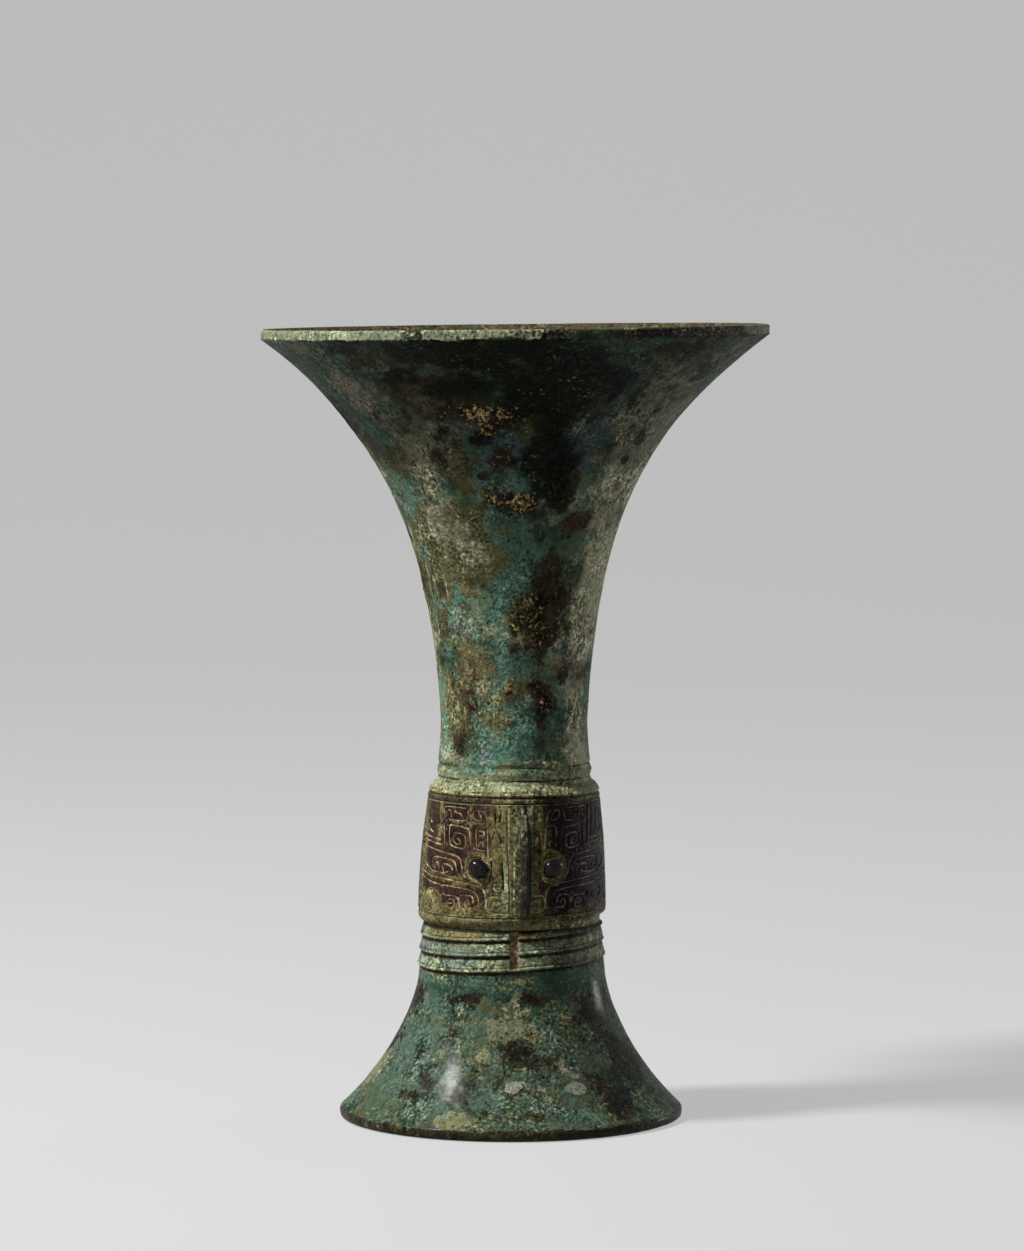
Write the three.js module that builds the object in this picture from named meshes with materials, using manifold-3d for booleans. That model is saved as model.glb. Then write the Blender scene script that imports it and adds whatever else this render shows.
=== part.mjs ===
// A bronze gu: a tall wine beaker with a trumpet mouth, a mask band round its waist and a flared foot.
// Millimetres, +Z up, origin at the centre of the foot's standing ring. The front mask faces -Y.
import * as THREE from "three";
import { mergeVertices, toCreasedNormals } from "three/addons/utils/BufferGeometryUtils.js";
import Module from "manifold-3d";

const wasm = await Module();
wasm.setup();

// Driving dimensions
const HEIGHT = 250;
const RIM_RADIUS = 80;
const LIP_HEIGHT = 3.2;
const LIP_LAND = 1.1; // flat top of the lip, across the metal
const RIM_RISE = 0.9; // the mouth is warped: its right side stands this much higher
const RIM_LEAN = 1; // and its centre this far to the right
const NECK_RADIUS = 23.2;
const NECK_Z = 126; // height of the narrowest place
const WALL = 2.5;
const KNOP_TOP = 107.2;
const KNOP_BOTTOM = 62.3;
const STEM_BOTTOM = 44.6;
const FOOT_RADIUS = 54;
const FOOT_EDGE = 4.4; // height of the rounded edge that the foot stands on
const FLOOR_THICKNESS = 2.8;
const FIELD_TOP = 101.2;
const FIELD_BOTTOM = 66.8;
const FIELD_DEPTH = 1.1; // depth of the recess that holds the mask panels
const PANEL_THICKNESS = 0.8;
const LINE_WIDTH = 0.6; // of the sunk lines in a panel
const LINE_DEPTH = 0.5;
const FLANGE_BASE = 5.8;
const FLANGE_CREST = 1;
const FLANGE_RISE = 2.2;
const SIDE_FLANGE_RISE = 0.35;
const FLANGE_SHIFT = 1.8; // the nose flange was cast this far right of its mask's middle
const EYE_LENGTH = 6.4;
const EYE_WIDTH = 5.2;
const EYE_RISE = 2;
const EYE_TILT = THREE.MathUtils.degToRad(35); // an eye slopes down towards the nose
const EYE_U = 11.9; // from the middle of the mask to an eye, along the band
const EYE_Z = 80.8;
const MASK_TURN = THREE.MathUtils.degToRad(2.7); // the masks sit a little right of the front
const RIDGE_COUNT = 3;
const RIDGE_PITCH = 4.85;
const RIDGE_TOP_Z = 58.5;
const RIDGE_RISE = 0.9;
const SLOT_WIDTH = 2.7;
const SLOT_DEPTH = 0.9;
const SLOT_TURN = THREE.MathUtils.degToRad(1.7);
const SPACER_SIDE = 5;
const GAP = 0.3; // between a piece and the neighbour that it was cut by
const SEGMENTS = 44;

const bronze = (color, roughness) => new THREE.MeshStandardMaterial({ color, roughness, metalness: 0.35 });
const finishes = {
  greenPatina: bronze(0x4f6b5e, 0.62),
  paleGreenPatina: bronze(0x77866a, 0.66),
  brownPatina: bronze(0x4a4038, 0.5),
  greySpacer: bronze(0x8a8f85, 0.45),
};

const gu = new THREE.Group();
gu.name = "gu_vase";

// A geometry as a solid that can be joined and cut
function solidOf(geometry) {
  const bare = geometry.clone();
  bare.deleteAttribute("normal");
  bare.deleteAttribute("uv");
  const merged = mergeVertices(bare, 1e-4);
  return new wasm.Manifold(
    new wasm.Mesh({
      numProp: 3,
      vertProperties: new Float32Array(merged.attributes.position.array),
      triVerts: new Uint32Array(merged.index.array),
    }),
  );
}

// A solid as a geometry, shaded smooth except across its sharp edges
function geometryOf(solid) {
  const { numProp, numVert, vertProperties, triVerts } = solid.getMesh();
  const positions = new Float32Array(numVert * 3);
  for (let i = 0; i < numVert; i++) {
    positions.set(vertProperties.subarray(i * numProp, i * numProp + 3), i * 3);
  }
  const geometry = new THREE.BufferGeometry();
  geometry.setAttribute("position", new THREE.BufferAttribute(positions, 3));
  geometry.setIndex(new THREE.BufferAttribute(new Uint32Array(triVerts), 1));
  return toCreasedNormals(geometry, THREE.MathUtils.degToRad(32));
}

function addPiece(name, solid, material) {
  const mesh = new THREE.Mesh(geometryOf(solid), material);
  mesh.name = name;
  gu.add(mesh);
}

// Revolves a closed outline of [radius, z] points, given anticlockwise with the radius to the right
function revolve(outline) {
  const points = outline.map(([r, z]) => new THREE.Vector2(r, z));
  points.push(points[0].clone());
  const lathe = new THREE.LatheGeometry(points, SEGMENTS);
  lathe.rotateX(Math.PI / 2);
  return solidOf(lathe);
}

const box = (width, depth, height) => new THREE.BoxGeometry(width, depth, height);

function bezier(from, handleA, handleB, to, count) {
  const [a, b, c, d] = [from, handleA, handleB, to].map(([r, z]) => new THREE.Vector2(r, z));
  return new THREE.CubicBezierCurve(a, b, c, d).getPoints(count).map((p) => [p.x, p.y]);
}

// Moves a run of [radius, z] points square to itself by a distance, to the left of its direction
function offsetRun(run, distance) {
  return run.map(([r, z], i) => {
    const [r0, z0] = run[Math.max(i - 1, 0)];
    const [r1, z1] = run[Math.min(i + 1, run.length - 1)];
    const length = Math.hypot(r1 - r0, z1 - z0);
    return [r - (distance * (z1 - z0)) / length, z + (distance * (r1 - r0)) / length];
  });
}

// Trumpet mouth and neck
const TRUMPET_STEPS = 10;
const BORE_AT_KNOP = 22; // radius of the bore where the neck meets the waist band

function trumpetOutline() {
  const rim = [RIM_RADIUS, HEIGHT - LIP_HEIGHT];
  const base = [
    [24.9, KNOP_TOP],
    [24.2, 108.2],
    [24.7, 109.6],
    [24.1, 112],
    [23.5, 119],
  ];
  const flare = bezier([NECK_RADIUS, NECK_Z], [25.8, 184.4], [41, 218.3], rim, TRUMPET_STEPS);
  const inside = offsetRun([base[0], ...flare], WALL)
    .filter(([, z], i) => i % 2 === 1 && z < HEIGHT - LIP_HEIGHT)
    .reverse();
  const lip = [
    [RIM_RADIUS, HEIGHT - 0.6],
    [RIM_RADIUS - 0.6, HEIGHT],
    [RIM_RADIUS - 0.6 - LIP_LAND, HEIGHT],
  ];
  return [...base, ...flare, ...lip, ...inside, [BORE_AT_KNOP, KNOP_TOP]];
}

// Leans the flare to +X and tips the mouth's plane up on that side, without moving the neck's foot
function warpMouth(solid) {
  return solid.warp((point) => {
    const lean = THREE.MathUtils.smoothstep(point[2], KNOP_TOP, HEIGHT);
    const tip = THREE.MathUtils.smoothstep(point[2], NECK_Z, HEIGHT);
    point[2] += (RIM_RISE * tip * point[0]) / RIM_RADIUS;
    point[0] += RIM_LEAN * lean;
  });
}

function makeTrumpet() {
  addPiece("trumpet_mouth", warpMouth(revolve(trumpetOutline())), finishes.greenPatina);
}

// Waist band, called the knop: a sleeve with plain borders and a recessed field for the masks
const knopTopRadius = 27;
const knopBottomRadius = 29.9;
const BORE_AT_FLOOR = 24.4;

// Radius of the band's finished face, a slightly swollen cone between the two borders
function faceRadius(z) {
  const share = (FIELD_TOP - z) / (FIELD_TOP - FIELD_BOTTOM);
  const swell = 0.5 * Math.sin(Math.PI * THREE.MathUtils.clamp(share, 0, 1));
  return THREE.MathUtils.lerp(knopTopRadius, knopBottomRadius, share) + swell;
}
const fieldRadius = (z) => faceRadius(z) - FIELD_DEPTH;

function fieldHeights(count) {
  const pitch = (FIELD_TOP - FIELD_BOTTOM) / count;
  return Array.from({ length: count + 1 }, (_, i) => FIELD_BOTTOM + i * pitch);
}

function makeKnopWall() {
  const floorTop = KNOP_BOTTOM + FLOOR_THICKNESS;
  const outline = [
    [27.8, KNOP_BOTTOM],
    [29.5, 64.1],
    [knopBottomRadius, 65.2],
    [knopBottomRadius, FIELD_BOTTOM],
    ...fieldHeights(2).map((z) => [fieldRadius(z), z]),
    [knopTopRadius, FIELD_TOP],
    [knopTopRadius, 103],
    [26.6, 103.4],
    [26.7, 104.6],
    [25.6, 106.2],
    [24.9, KNOP_TOP],
    [BORE_AT_KNOP, KNOP_TOP],
    [BORE_AT_FLOOR, floorTop + 4],
    [BORE_AT_FLOOR, KNOP_BOTTOM],
  ];
  addPiece("knop_wall", revolve(outline), finishes.paleGreenPatina);
}

// Floor of the cup, which rests on the stem inside the band, with three bronze spacers cast into it
const FLOOR_SPACERS = [
  [0, 10],
  [-9, -6],
  [9, -6],
];

function makeCupFloor() {
  const radius = BORE_AT_FLOOR - GAP;
  const top = KNOP_BOTTOM + FLOOR_THICKNESS;
  let floor = revolve([
    [0, KNOP_BOTTOM],
    [radius, KNOP_BOTTOM],
    [radius, top],
    [0, top],
  ]);
  FLOOR_SPACERS.forEach(([x, y], i) => {
    const place = [x, y, KNOP_BOTTOM + FLOOR_THICKNESS / 2];
    const cutter = solidOf(box(SPACER_SIDE, SPACER_SIDE, 2 * FLOOR_THICKNESS)).translate(place);
    const side = SPACER_SIDE - 2 * GAP;
    const spacer = solidOf(box(side, side, FLOOR_THICKNESS)).translate(place);
    floor = floor.subtract(cutter);
    addPiece(`floor_spacer_${i + 1}`, spacer, finishes.greySpacer);
  });
  addPiece("cup_floor", floor, finishes.brownPatina);
}

// Stem with its bowstring ridges, cut across at the front and back by a shallow slot
const stemTopRadius = 27.8;
const stemBottomRadius = 29.6;
const STEM_WALL = 3.4;

function stemRadius(z) {
  return THREE.MathUtils.mapLinear(z, KNOP_BOTTOM, STEM_BOTTOM, stemTopRadius, stemBottomRadius);
}
const stemBore = (z) => stemRadius(z) - STEM_WALL;

function ridgeRun() {
  const run = [];
  for (let i = 0; i < RIDGE_COUNT; i++) {
    const edge = RIDGE_TOP_Z - i * RIDGE_PITCH;
    run.push([stemRadius(edge) + RIDGE_RISE * 0.8, edge + 1.6]);
    run.push([stemRadius(edge) + RIDGE_RISE, edge]);
    run.push([stemRadius(edge), edge - 0.7]);
  }
  return run.reverse();
}

function makeStem() {
  let stem = revolve([
    [stemBottomRadius, STEM_BOTTOM],
    ...ridgeRun(),
    [stemTopRadius, KNOP_BOTTOM],
    [stemBore(KNOP_BOTTOM), KNOP_BOTTOM],
    [stemBore(STEM_BOTTOM), STEM_BOTTOM],
  ]);
  const slotTop = KNOP_BOTTOM - 0.4;
  const slotBottom = RIDGE_TOP_Z - (RIDGE_COUNT - 1) * RIDGE_PITCH + 0.4;
  const cutter = solidOf(box(SLOT_WIDTH, 4, slotTop - slotBottom));
  for (const turn of [0, Math.PI]) {
    const reach = stemRadius((slotTop + slotBottom) / 2) - SLOT_DEPTH / 2 + 2;
    const angle = THREE.MathUtils.radToDeg(turn + SLOT_TURN);
    stem = stem.subtract(cutter.translate([0, -reach, (slotTop + slotBottom) / 2]).rotate([0, 0, angle]));
  }
  addPiece("ridged_stem", stem, finishes.paleGreenPatina);
}

// Flared hollow foot with a rounded edge, and the spacers that show in its wall
const FOOT_STEPS = 8;
const FOOT_SPACERS = [
  { turn: 1, z: 17 },
  { turn: 26, z: 16 },
  { turn: 148, z: 17 },
  { turn: 243, z: 16.5 },
];

function footOutline() {
  const start = [FOOT_RADIUS - 0.5, FOOT_EDGE - 1.2];
  const flare = bezier(start, [45.4, 10.7], [32.4, 28.1], [stemBottomRadius, STEM_BOTTOM], FOOT_STEPS);
  const inside = offsetRun(flare, 2.9)
    .filter(([, z], i) => i % 2 === 1 && z < STEM_BOTTOM - 2)
    .reverse();
  const edge = [
    [FOOT_RADIUS - 5, 0],
    [FOOT_RADIUS - 1.6, 0],
    [FOOT_RADIUS - 0.5, 0.6],
    [FOOT_RADIUS, 1.8],
  ];
  return [...edge, ...flare, [stemBore(STEM_BOTTOM), STEM_BOTTOM], ...inside];
}

function makeFoot() {
  const whole = revolve(footOutline());
  let foot = whole;
  FOOT_SPACERS.forEach(({ turn, z }, i) => {
    const place = (side) =>
      solidOf(box(side, 24, side)).rotate([-38, 0, 0]).translate([0, -44, z]).rotate([0, 0, turn]);
    foot = foot.subtract(place(SPACER_SIDE));
    addPiece(`foot_spacer_${i + 1}`, whole.intersect(place(SPACER_SIDE - 2 * GAP)), finishes.greySpacer);
  });
  addPiece("flared_foot", foot, finishes.greenPatina);
}

// Joins sections of equally many points, each listed the same way round, into one closed geometry
function loft(sections) {
  const around = sections[0].length;
  const index = [];
  for (let i = 0; i < sections.length - 1; i++) {
    for (let k = 0; k < around; k++) {
      const a = around * i + k;
      const b = around * i + ((k + 1) % around);
      index.push(a, a + around, b + around, a, b + around, b);
    }
  }
  const last = around * (sections.length - 1);
  for (let k = 1; k < around - 1; k++) {
    index.push(0, k, k + 1, last, last + k + 1, last + k);
  }
  const geometry = new THREE.BufferGeometry();
  geometry.setAttribute("position", new THREE.BufferAttribute(new Float32Array(sections.flat(2)), 3));
  geometry.setIndex(index);
  return geometry;
}

// A solid with its faces turned outwards, whichever way round its geometry was listed
function solidFacingOut(geometry) {
  const solid = solidOf(geometry);
  if (solid.volume() > 0) return solid;
  const turned = geometry.clone();
  const index = turned.index.array;
  for (let i = 0; i < index.length; i += 3) {
    [index[i + 1], index[i + 2]] = [index[i + 2], index[i + 1]];
  }
  return solidOf(turned);
}

// Mask panels. A panel is drawn flat: u runs along the band from the middle of the mask, v up from the
// field's bottom, and h out from the recess. Wrapping it bends u round the band.
const QUARTER = Math.PI / 2;
const MEAN_RADIUS = 28.9;
const PANEL_HEIGHT = FIELD_TOP - FIELD_BOTTOM;
const PANEL_COLUMNS = 8;

function wrap(geometry, noseTurn, side) {
  const position = geometry.attributes.position;
  for (let i = 0; i < position.count; i++) {
    const z = FIELD_BOTTOM + position.getZ(i);
    const radius = fieldRadius(z) + position.getY(i);
    const angle = noseTurn + (side * position.getX(i)) / MEAN_RADIUS;
    position.setXYZ(i, radius * Math.sin(angle), -radius * Math.cos(angle), z);
  }
  return solidFacingOut(geometry);
}

function slab(u0, u1, low, high) {
  const height = PANEL_HEIGHT - 2 * GAP;
  const block = new THREE.BoxGeometry(u1 - u0, high - low, height, PANEL_COLUMNS, 1, 2);
  return block.translate((u0 + u1) / 2, (low + high) / 2, PANEL_HEIGHT / 2);
}

// The cutter of a sunk line: a strip of even width along a path of [u, v] points, with mitred corners
function lineCutter(path) {
  const sections = path.map(([u, v], i) => {
    const [u0, v0] = path[Math.max(i - 1, 0)];
    const [u1, v1] = path[Math.min(i + 1, path.length - 1)];
    const before = new THREE.Vector2(u - u0, v - v0).normalize();
    const after = new THREE.Vector2(u1 - u, v1 - v).normalize();
    const along = before.clone().add(after).normalize();
    const straightness = Math.max(before.dot(along), after.dot(along), 0.6);
    const reach = LINE_WIDTH / 2 / straightness;
    const [du, dv] = [-along.y * reach, along.x * reach];
    const low = GAP + PANEL_THICKNESS - LINE_DEPTH;
    const high = low + 2 * LINE_DEPTH;
    return [
      [u + du, low, v + dv],
      [u - du, low, v - dv],
      [u - du, high, v - dv],
      [u + du, high, v + dv],
    ];
  });
  return loft(sections);
}

// Adds points along the stretches of a path that run round the band, so that the cutter bends with it
function withBends(path, step = 7) {
  const points = [path[0]];
  for (let i = 1; i < path.length; i++) {
    const [u0, v0] = path[i - 1];
    const [u1, v1] = path[i];
    const count = Math.max(1, Math.round(Math.abs(u1 - u0) / step));
    for (let k = 1; k <= count; k++) {
      points.push([u0 + ((u1 - u0) * k) / count, v0 + ((v1 - v0) * k) / count]);
    }
  }
  return points;
}

// The sunk lines of half a mask, by what they outline
const maskLines = {
  topBorder: [[-1, 34.1], [12, 34.1], [30, 34.1], [46, 34.1]],
  browCell: [[27.1, 29.5], [28, 33], [18, 33]],
  browCellFoot: [[25, 29.4], [17.4, 29.2], [16.9, 32]],
  templeLine: [[15, 31.4], [15, 32.7], [10.8, 32.3], [9.8, 27.9], [9.2, 18.6]],
  hornSpiral: [
    [15.4, 19.8],
    [16, 26.6],
    [24, 27.6],
    [23.3, 21.2],
    [17.4, 20.6],
    [17.7, 24.9],
    [22.1, 25.3],
    [21.7, 22.2],
    [19.4, 22.2],
    [19.5, 23.9],
  ],
  hornCell: [[10, 27.7], [14, 28], [13, 20.5], [10, 20.3]],
  bar: [[30.6, 34], [28.8, 23.6]],
  tailHook: [[33.8, 31.6], [32.4, 25.2], [38.1, 26], [41.2, 31.6]],
  earLine: [[45, 24], [34.2, 22.9], [27.6, 22.2]],
  scrollOuter: [[45, 20.6], [32.8, 19.4], [21, 18.3], [18.6, 16.8], [17.4, 12.1]],
  scrollFoot: [[40.5, 18], [37.4, 14.2], [32, 12.4], [23.4, 12.4]],
  scrollInner: [[31.6, 14], [32.6, 17.2], [23.6, 16.7], [20.8, 15.8], [19.9, 13.3]],
  jaw: [[45, 12.6], [36, 11.3], [26, 10.6], [12, 8.9], [10, 7.2], [9.6, 1.9]],
  jawEdge: [[45, 10.8], [35, 9.2], [29, 8.5], [17.9, 8.1], [13.2, 7], [12, 5.2], [12, 2.6], [14.6, 1.6]],
  jawCurl: [[18.7, 3.4], [18.6, 5.6], [14.4, 5.8], [13.8, 3.6], [15.6, 3]],
  roundCurl: [[25.6, 5.7], [20.4, 5.6], [19.6, 2], [23.4, 1.5], [24, 3.9], [21.8, 4]],
  footHook: [[28.4, 4], [28.4, 6], [30.4, 6.8], [34.9, 6.8], [34.6, 4.8]],
  nostril: [[4.8, 5.6], [8.2, 5.6], [8.2, 1.4], [2, 1.2]],
  noseHook: [[4.8, 9.9], [6.9, 9.9], [6.9, 7.8], [5.2, 7.6]],
  noseLine: [[3.2, 33], [2.6, 18], [2, 2.4]],
  nostrilLine: [[7.2, 32.8], [6.6, 26.4], [4.8, 24.4], [4.2, 12]],
};

function makeMaskPanel(name, noseTurn, side) {
  const start = side * FLANGE_SHIFT + FLANGE_BASE / 2 + GAP;
  const end = MEAN_RADIUS * QUARTER - FLANGE_BASE / 2 - GAP;
  let panel = wrap(slab(start, end, GAP, GAP + PANEL_THICKNESS), noseTurn, side);
  for (const path of Object.values(maskLines)) {
    panel = panel.subtract(wrap(lineCutter(withBends(path)), noseTurn, side));
  }
  const [body] = panel.decompose().sort((a, b) => b.volume() - a.volume());
  addPiece(name, body, finishes.brownPatina);
}

// Flanges: flat strips with a spindle-shaped keel on them, pointed at the top and blunt at the bottom
function makeFlange(name, turn, rise) {
  const steps = 6;
  const halfBase = FLANGE_BASE / 2;
  const halfCrest = FLANGE_CREST / 2;
  const sections = Array.from({ length: steps + 1 }, (_, i) => {
    const down = i / steps;
    const z = THREE.MathUtils.lerp(FIELD_TOP - GAP, FIELD_BOTTOM + GAP, down);
    const root = fieldRadius(z) + GAP;
    const face = root + PANEL_THICKNESS;
    const swell = THREE.MathUtils.smoothstep(down, -0.05, 0.35);
    const taper = 1 - 0.4 * THREE.MathUtils.smoothstep(down, 0.75, 1);
    const crest = face + rise * swell * taper;
    const halfKeel = THREE.MathUtils.lerp(halfCrest + 0.1, halfBase - 0.1, swell * taper);
    return [
      [-halfBase, -root, z],
      [halfBase, -root, z],
      [halfBase, -face, z],
      [halfKeel, -face, z],
      [halfCrest, -crest, z],
      [-halfCrest, -crest, z],
      [-halfKeel, -face, z],
      [-halfBase, -face, z],
    ];
  });
  addPiece(name, solidFacingOut(loft(sections).rotateZ(turn)), finishes.brownPatina);
}

// Eye bosses: oval domes that stand on the band, sloping down towards the nose
function makeEye(name, noseTurn, side) {
  const steps = 4;
  const dome = Array.from({ length: steps + 1 }, (_, i) => {
    const angle = (i / steps) * QUARTER;
    return new THREE.Vector2(i === steps ? 0 : Math.cos(angle), EYE_RISE * Math.sin(angle));
  });
  const eye = new THREE.LatheGeometry([new THREE.Vector2(0, 0), ...dome], 12);
  eye.scale(EYE_LENGTH / 2, 1, EYE_WIDTH / 2);
  eye.rotateY(side * EYE_TILT);
  const stand = fieldRadius(EYE_Z) + GAP + PANEL_THICKNESS + 0.05;
  eye.translate(0, stand, 0).rotateZ(Math.PI).translate(0, 0, EYE_Z);
  eye.rotateZ(noseTurn + (side * EYE_U) / MEAN_RADIUS);
  addPiece(name, solidFacingOut(mergedGeometry(eye)), finishes.brownPatina);
}

function mergedGeometry(geometry) {
  const bare = geometry.clone();
  bare.deleteAttribute("normal");
  bare.deleteAttribute("uv");
  return mergeVertices(bare, 1e-4);
}

function makeMask(face, noseTurn) {
  for (const [label, side] of [["left", -1], ["right", 1]]) {
    makeMaskPanel(`mask_${face}_${label}`, noseTurn, side);
    makeEye(`eye_${face}_${label}`, noseTurn, side);
  }
  makeFlange(`flange_${face}`, noseTurn + FLANGE_SHIFT / MEAN_RADIUS, FLANGE_RISE);
}

makeTrumpet();
makeKnopWall();
makeCupFloor();
makeStem();
makeFoot();
makeMask("front", MASK_TURN);
makeMask("back", MASK_TURN + Math.PI);
makeFlange("flange_right", MASK_TURN + QUARTER, SIDE_FLANGE_RISE);
makeFlange("flange_left", MASK_TURN - QUARTER, SIDE_FLANGE_RISE);

export default gu;
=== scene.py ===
import math

import bpy
import numpy as np
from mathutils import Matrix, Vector


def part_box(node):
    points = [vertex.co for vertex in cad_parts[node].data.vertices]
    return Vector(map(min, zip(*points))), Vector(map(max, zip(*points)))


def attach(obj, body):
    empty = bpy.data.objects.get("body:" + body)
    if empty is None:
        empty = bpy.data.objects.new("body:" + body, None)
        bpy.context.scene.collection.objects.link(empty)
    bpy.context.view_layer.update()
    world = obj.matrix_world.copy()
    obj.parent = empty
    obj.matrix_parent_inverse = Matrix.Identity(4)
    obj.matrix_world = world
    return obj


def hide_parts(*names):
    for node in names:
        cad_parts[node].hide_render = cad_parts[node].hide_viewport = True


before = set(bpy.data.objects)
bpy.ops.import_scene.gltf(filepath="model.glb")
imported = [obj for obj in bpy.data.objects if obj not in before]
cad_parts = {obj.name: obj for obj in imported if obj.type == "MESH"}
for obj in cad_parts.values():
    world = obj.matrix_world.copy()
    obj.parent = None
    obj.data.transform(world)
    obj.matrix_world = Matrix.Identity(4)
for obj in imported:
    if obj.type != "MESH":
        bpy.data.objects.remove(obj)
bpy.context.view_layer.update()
mm = 0.001
tau = 2 * math.pi
print("frame loaded")


# Grids and meshes

def bezier(a, b, c, d, count):
    # (1-t)^3 a + 3(1-t)^2 t b + 3(1-t) t^2 c + t^3 d, for t from 0 to 1
    t = np.linspace(0, 1, count)[:, None]
    a, b, c, d = (np.array(p, float) for p in (a, b, c, d))
    return (1 - t) ** 3 * a + 3 * (1 - t) ** 2 * t * b + 3 * (1 - t) * t * t * c + t ** 3 * d


def offsetRun(run, distance):
    # each point moves by distance along the run's left normal (-dz, dr)
    along = np.gradient(run, axis=0)
    along /= np.linalg.norm(along, axis=1)[:, None]
    return run + distance * np.column_stack([-along[:, 1], along[:, 0]])


def resample(run, step):
    # points along a polyline, spaced evenly by arc length, about step apart
    run = np.array(run, float)
    length = np.r_[0, np.cumsum(np.linalg.norm(np.diff(run, axis=0), axis=1))]
    count = max(2, int(round(length[-1] / step)) + 1)
    s = np.linspace(0, length[-1], count)
    return np.column_stack([np.interp(s, length, run[:, 0]), np.interp(s, length, run[:, 1])])


def roundedPath(path, times=2):
    # cuts each corner: a step from a to b becomes 3/4 a + 1/4 b and 1/4 a + 3/4 b, and the ends stay
    points = np.array(path, float)
    for _ in range(times):
        a, b = points[:-1], points[1:]
        cut = np.stack([0.75 * a + 0.25 * b, 0.25 * a + 0.75 * b], 1).reshape(-1, 2)
        points = np.vstack([points[:1], cut[1:-1], points[-1:]])
    return points


def smoothStep(low, high, x):
    # t^2 (3 - 2t), with t = (x - low) / (high - low) held between 0 and 1
    t = np.clip((x - low) / (high - low), 0, 1)
    return t * t * (3 - 2 * t)


def hill(x, at, width):
    # exp(-((x - at) / width)^2)
    return np.exp(-((x - at) / width) ** 2)


latticeSide = 64
lattice = np.random.default_rng(7).random((latticeSide,) * 3)


def valueNoise(points, size, seed=0):
    # random values on a lattice of cells of this size, blended inside a cell by t^2 (3 - 2t), from -1 to 1
    place = points / size + 11.37 * (seed + 1)
    cell = np.floor(place).astype(int)
    t = place - cell
    t = t * t * (3 - 2 * t)
    total = 0
    for corner in np.ndindex(2, 2, 2):
        i, j, k = np.moveaxis((cell + corner) % latticeSide, -1, 0)
        total = total + lattice[i, j, k] * np.prod(np.where(corner, t, 1 - t), axis=-1)
    return 2 * total - 1


tumble = np.array([[0.0, 0.8, 0.6], [-0.8, 0.36, -0.48], [-0.6, -0.48, 0.64]])


def fractalNoise(points, size, seed=0, octaves=4):
    # value noise summed over octaves, each turned by one more tumble, half as large and half as strong
    total = 0
    for n in range(octaves):
        points = points @ tumble
        total = total + valueNoise(points, size / 2 ** n, seed + n) / 2 ** n
    return total


def ring(profile, turns):
    # (r, z) and turn a give (r sin a, -r cos a, z); rows follow the profile, columns go round
    a = np.linspace(0, tau, turns, endpoint=False)
    r, z = profile[:, :1], profile[:, 1:]
    return np.stack([r * np.sin(a), -r * np.cos(a), z + 0 * a], axis=-1)


def outwardOf(points):
    # unit normals of a grid that wraps both ways: cross product of its column and row differences
    alongRows = np.roll(points, -1, 0) - np.roll(points, 1, 0)
    alongColumns = np.roll(points, -1, 1) - np.roll(points, 1, 1)
    n = np.cross(alongColumns, alongRows)
    return n / np.maximum(np.linalg.norm(n, axis=-1, keepdims=True), 1e-9)


def gridFaces(rows, columns, wrapRows=False, wrapColumns=False, start=0):
    # quads join (i, j), (i+1, j), (i+1, j+1), (i, j+1); a wrapped side joins its last line to its first
    index = start + np.arange(rows * columns).reshape(rows, columns)
    if wrapRows:
        index = np.vstack([index, index[:1]])
    if wrapColumns:
        index = np.hstack([index, index[:, :1]])
    return np.stack([index[:-1, :-1], index[1:, :-1], index[1:, 1:], index[:-1, 1:]], axis=-1).reshape(-1, 4)


def meshFromFaces(name, vertices, faceLists, attributes=None):
    # each list in faceLists holds faces of one corner count
    mesh = bpy.data.meshes.new(name)
    corners = np.concatenate([np.full(len(faces), faces.shape[1]) for faces in faceLists])
    loops = np.concatenate([faces.ravel() for faces in faceLists]).astype(np.int32)
    mesh.vertices.add(len(vertices))
    mesh.vertices.foreach_set("co", np.ascontiguousarray(vertices, np.float32).ravel())
    mesh.loops.add(len(loops))
    mesh.loops.foreach_set("vertex_index", loops)
    mesh.polygons.add(len(corners))
    mesh.polygons.foreach_set("loop_start", (np.cumsum(corners) - corners).astype(np.int32))
    mesh.polygons.foreach_set("use_smooth", np.ones(len(corners), bool))
    mesh.update(calc_edges=True)
    for key, values in (attributes or {}).items():
        isVector = values.ndim > 1 and values.shape[-1] == 3 and values.size == 3 * len(vertices)
        kind, field = ("FLOAT_VECTOR", "vector") if isVector else ("FLOAT", "value")
        layer = mesh.attributes.new(key, kind, "POINT")
        layer.data.foreach_set(field, np.ascontiguousarray(values, np.float32).ravel())
    piece = bpy.data.objects.new(name, mesh)
    bpy.context.scene.collection.objects.link(piece)
    return piece


def turnedPiece(name, points, attributes=None):
    # a grid of rings, closed both ways; its columns are reversed so that the faces point outwards
    flipped = {key: values[:, ::-1] for key, values in (attributes or {}).items()}
    faces = gridFaces(points.shape[0], points.shape[1], True, True)
    return meshFromFaces(name, leaned(points[:, ::-1]).reshape(-1, 3) * mm, [faces], flipped)


def cappedPiece(name, points, attributes=None):
    # a tube of rings closed by a fan round the middle of its first and of its last ring
    rows, columns = points.shape[:2]
    count = rows * columns
    first = np.arange(columns)
    last = first + count - columns
    fans = np.vstack([
        np.column_stack([np.roll(first, -1), np.full(columns, count), first]),
        np.column_stack([last, np.full(columns, count + 1), np.roll(last, -1)]),
    ])
    middles = np.stack([points[0].mean(0), points[-1].mean(0)])
    vertices = leaned(np.vstack([points.reshape(-1, 3), middles])) * mm
    padded = {key: np.r_[values.ravel(), values[0].mean(), values[-1].mean()]
              for key, values in (attributes or {}).items()}
    return meshFromFaces(name, vertices, [gridFaces(rows, columns, False, True), fans], padded)


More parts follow.
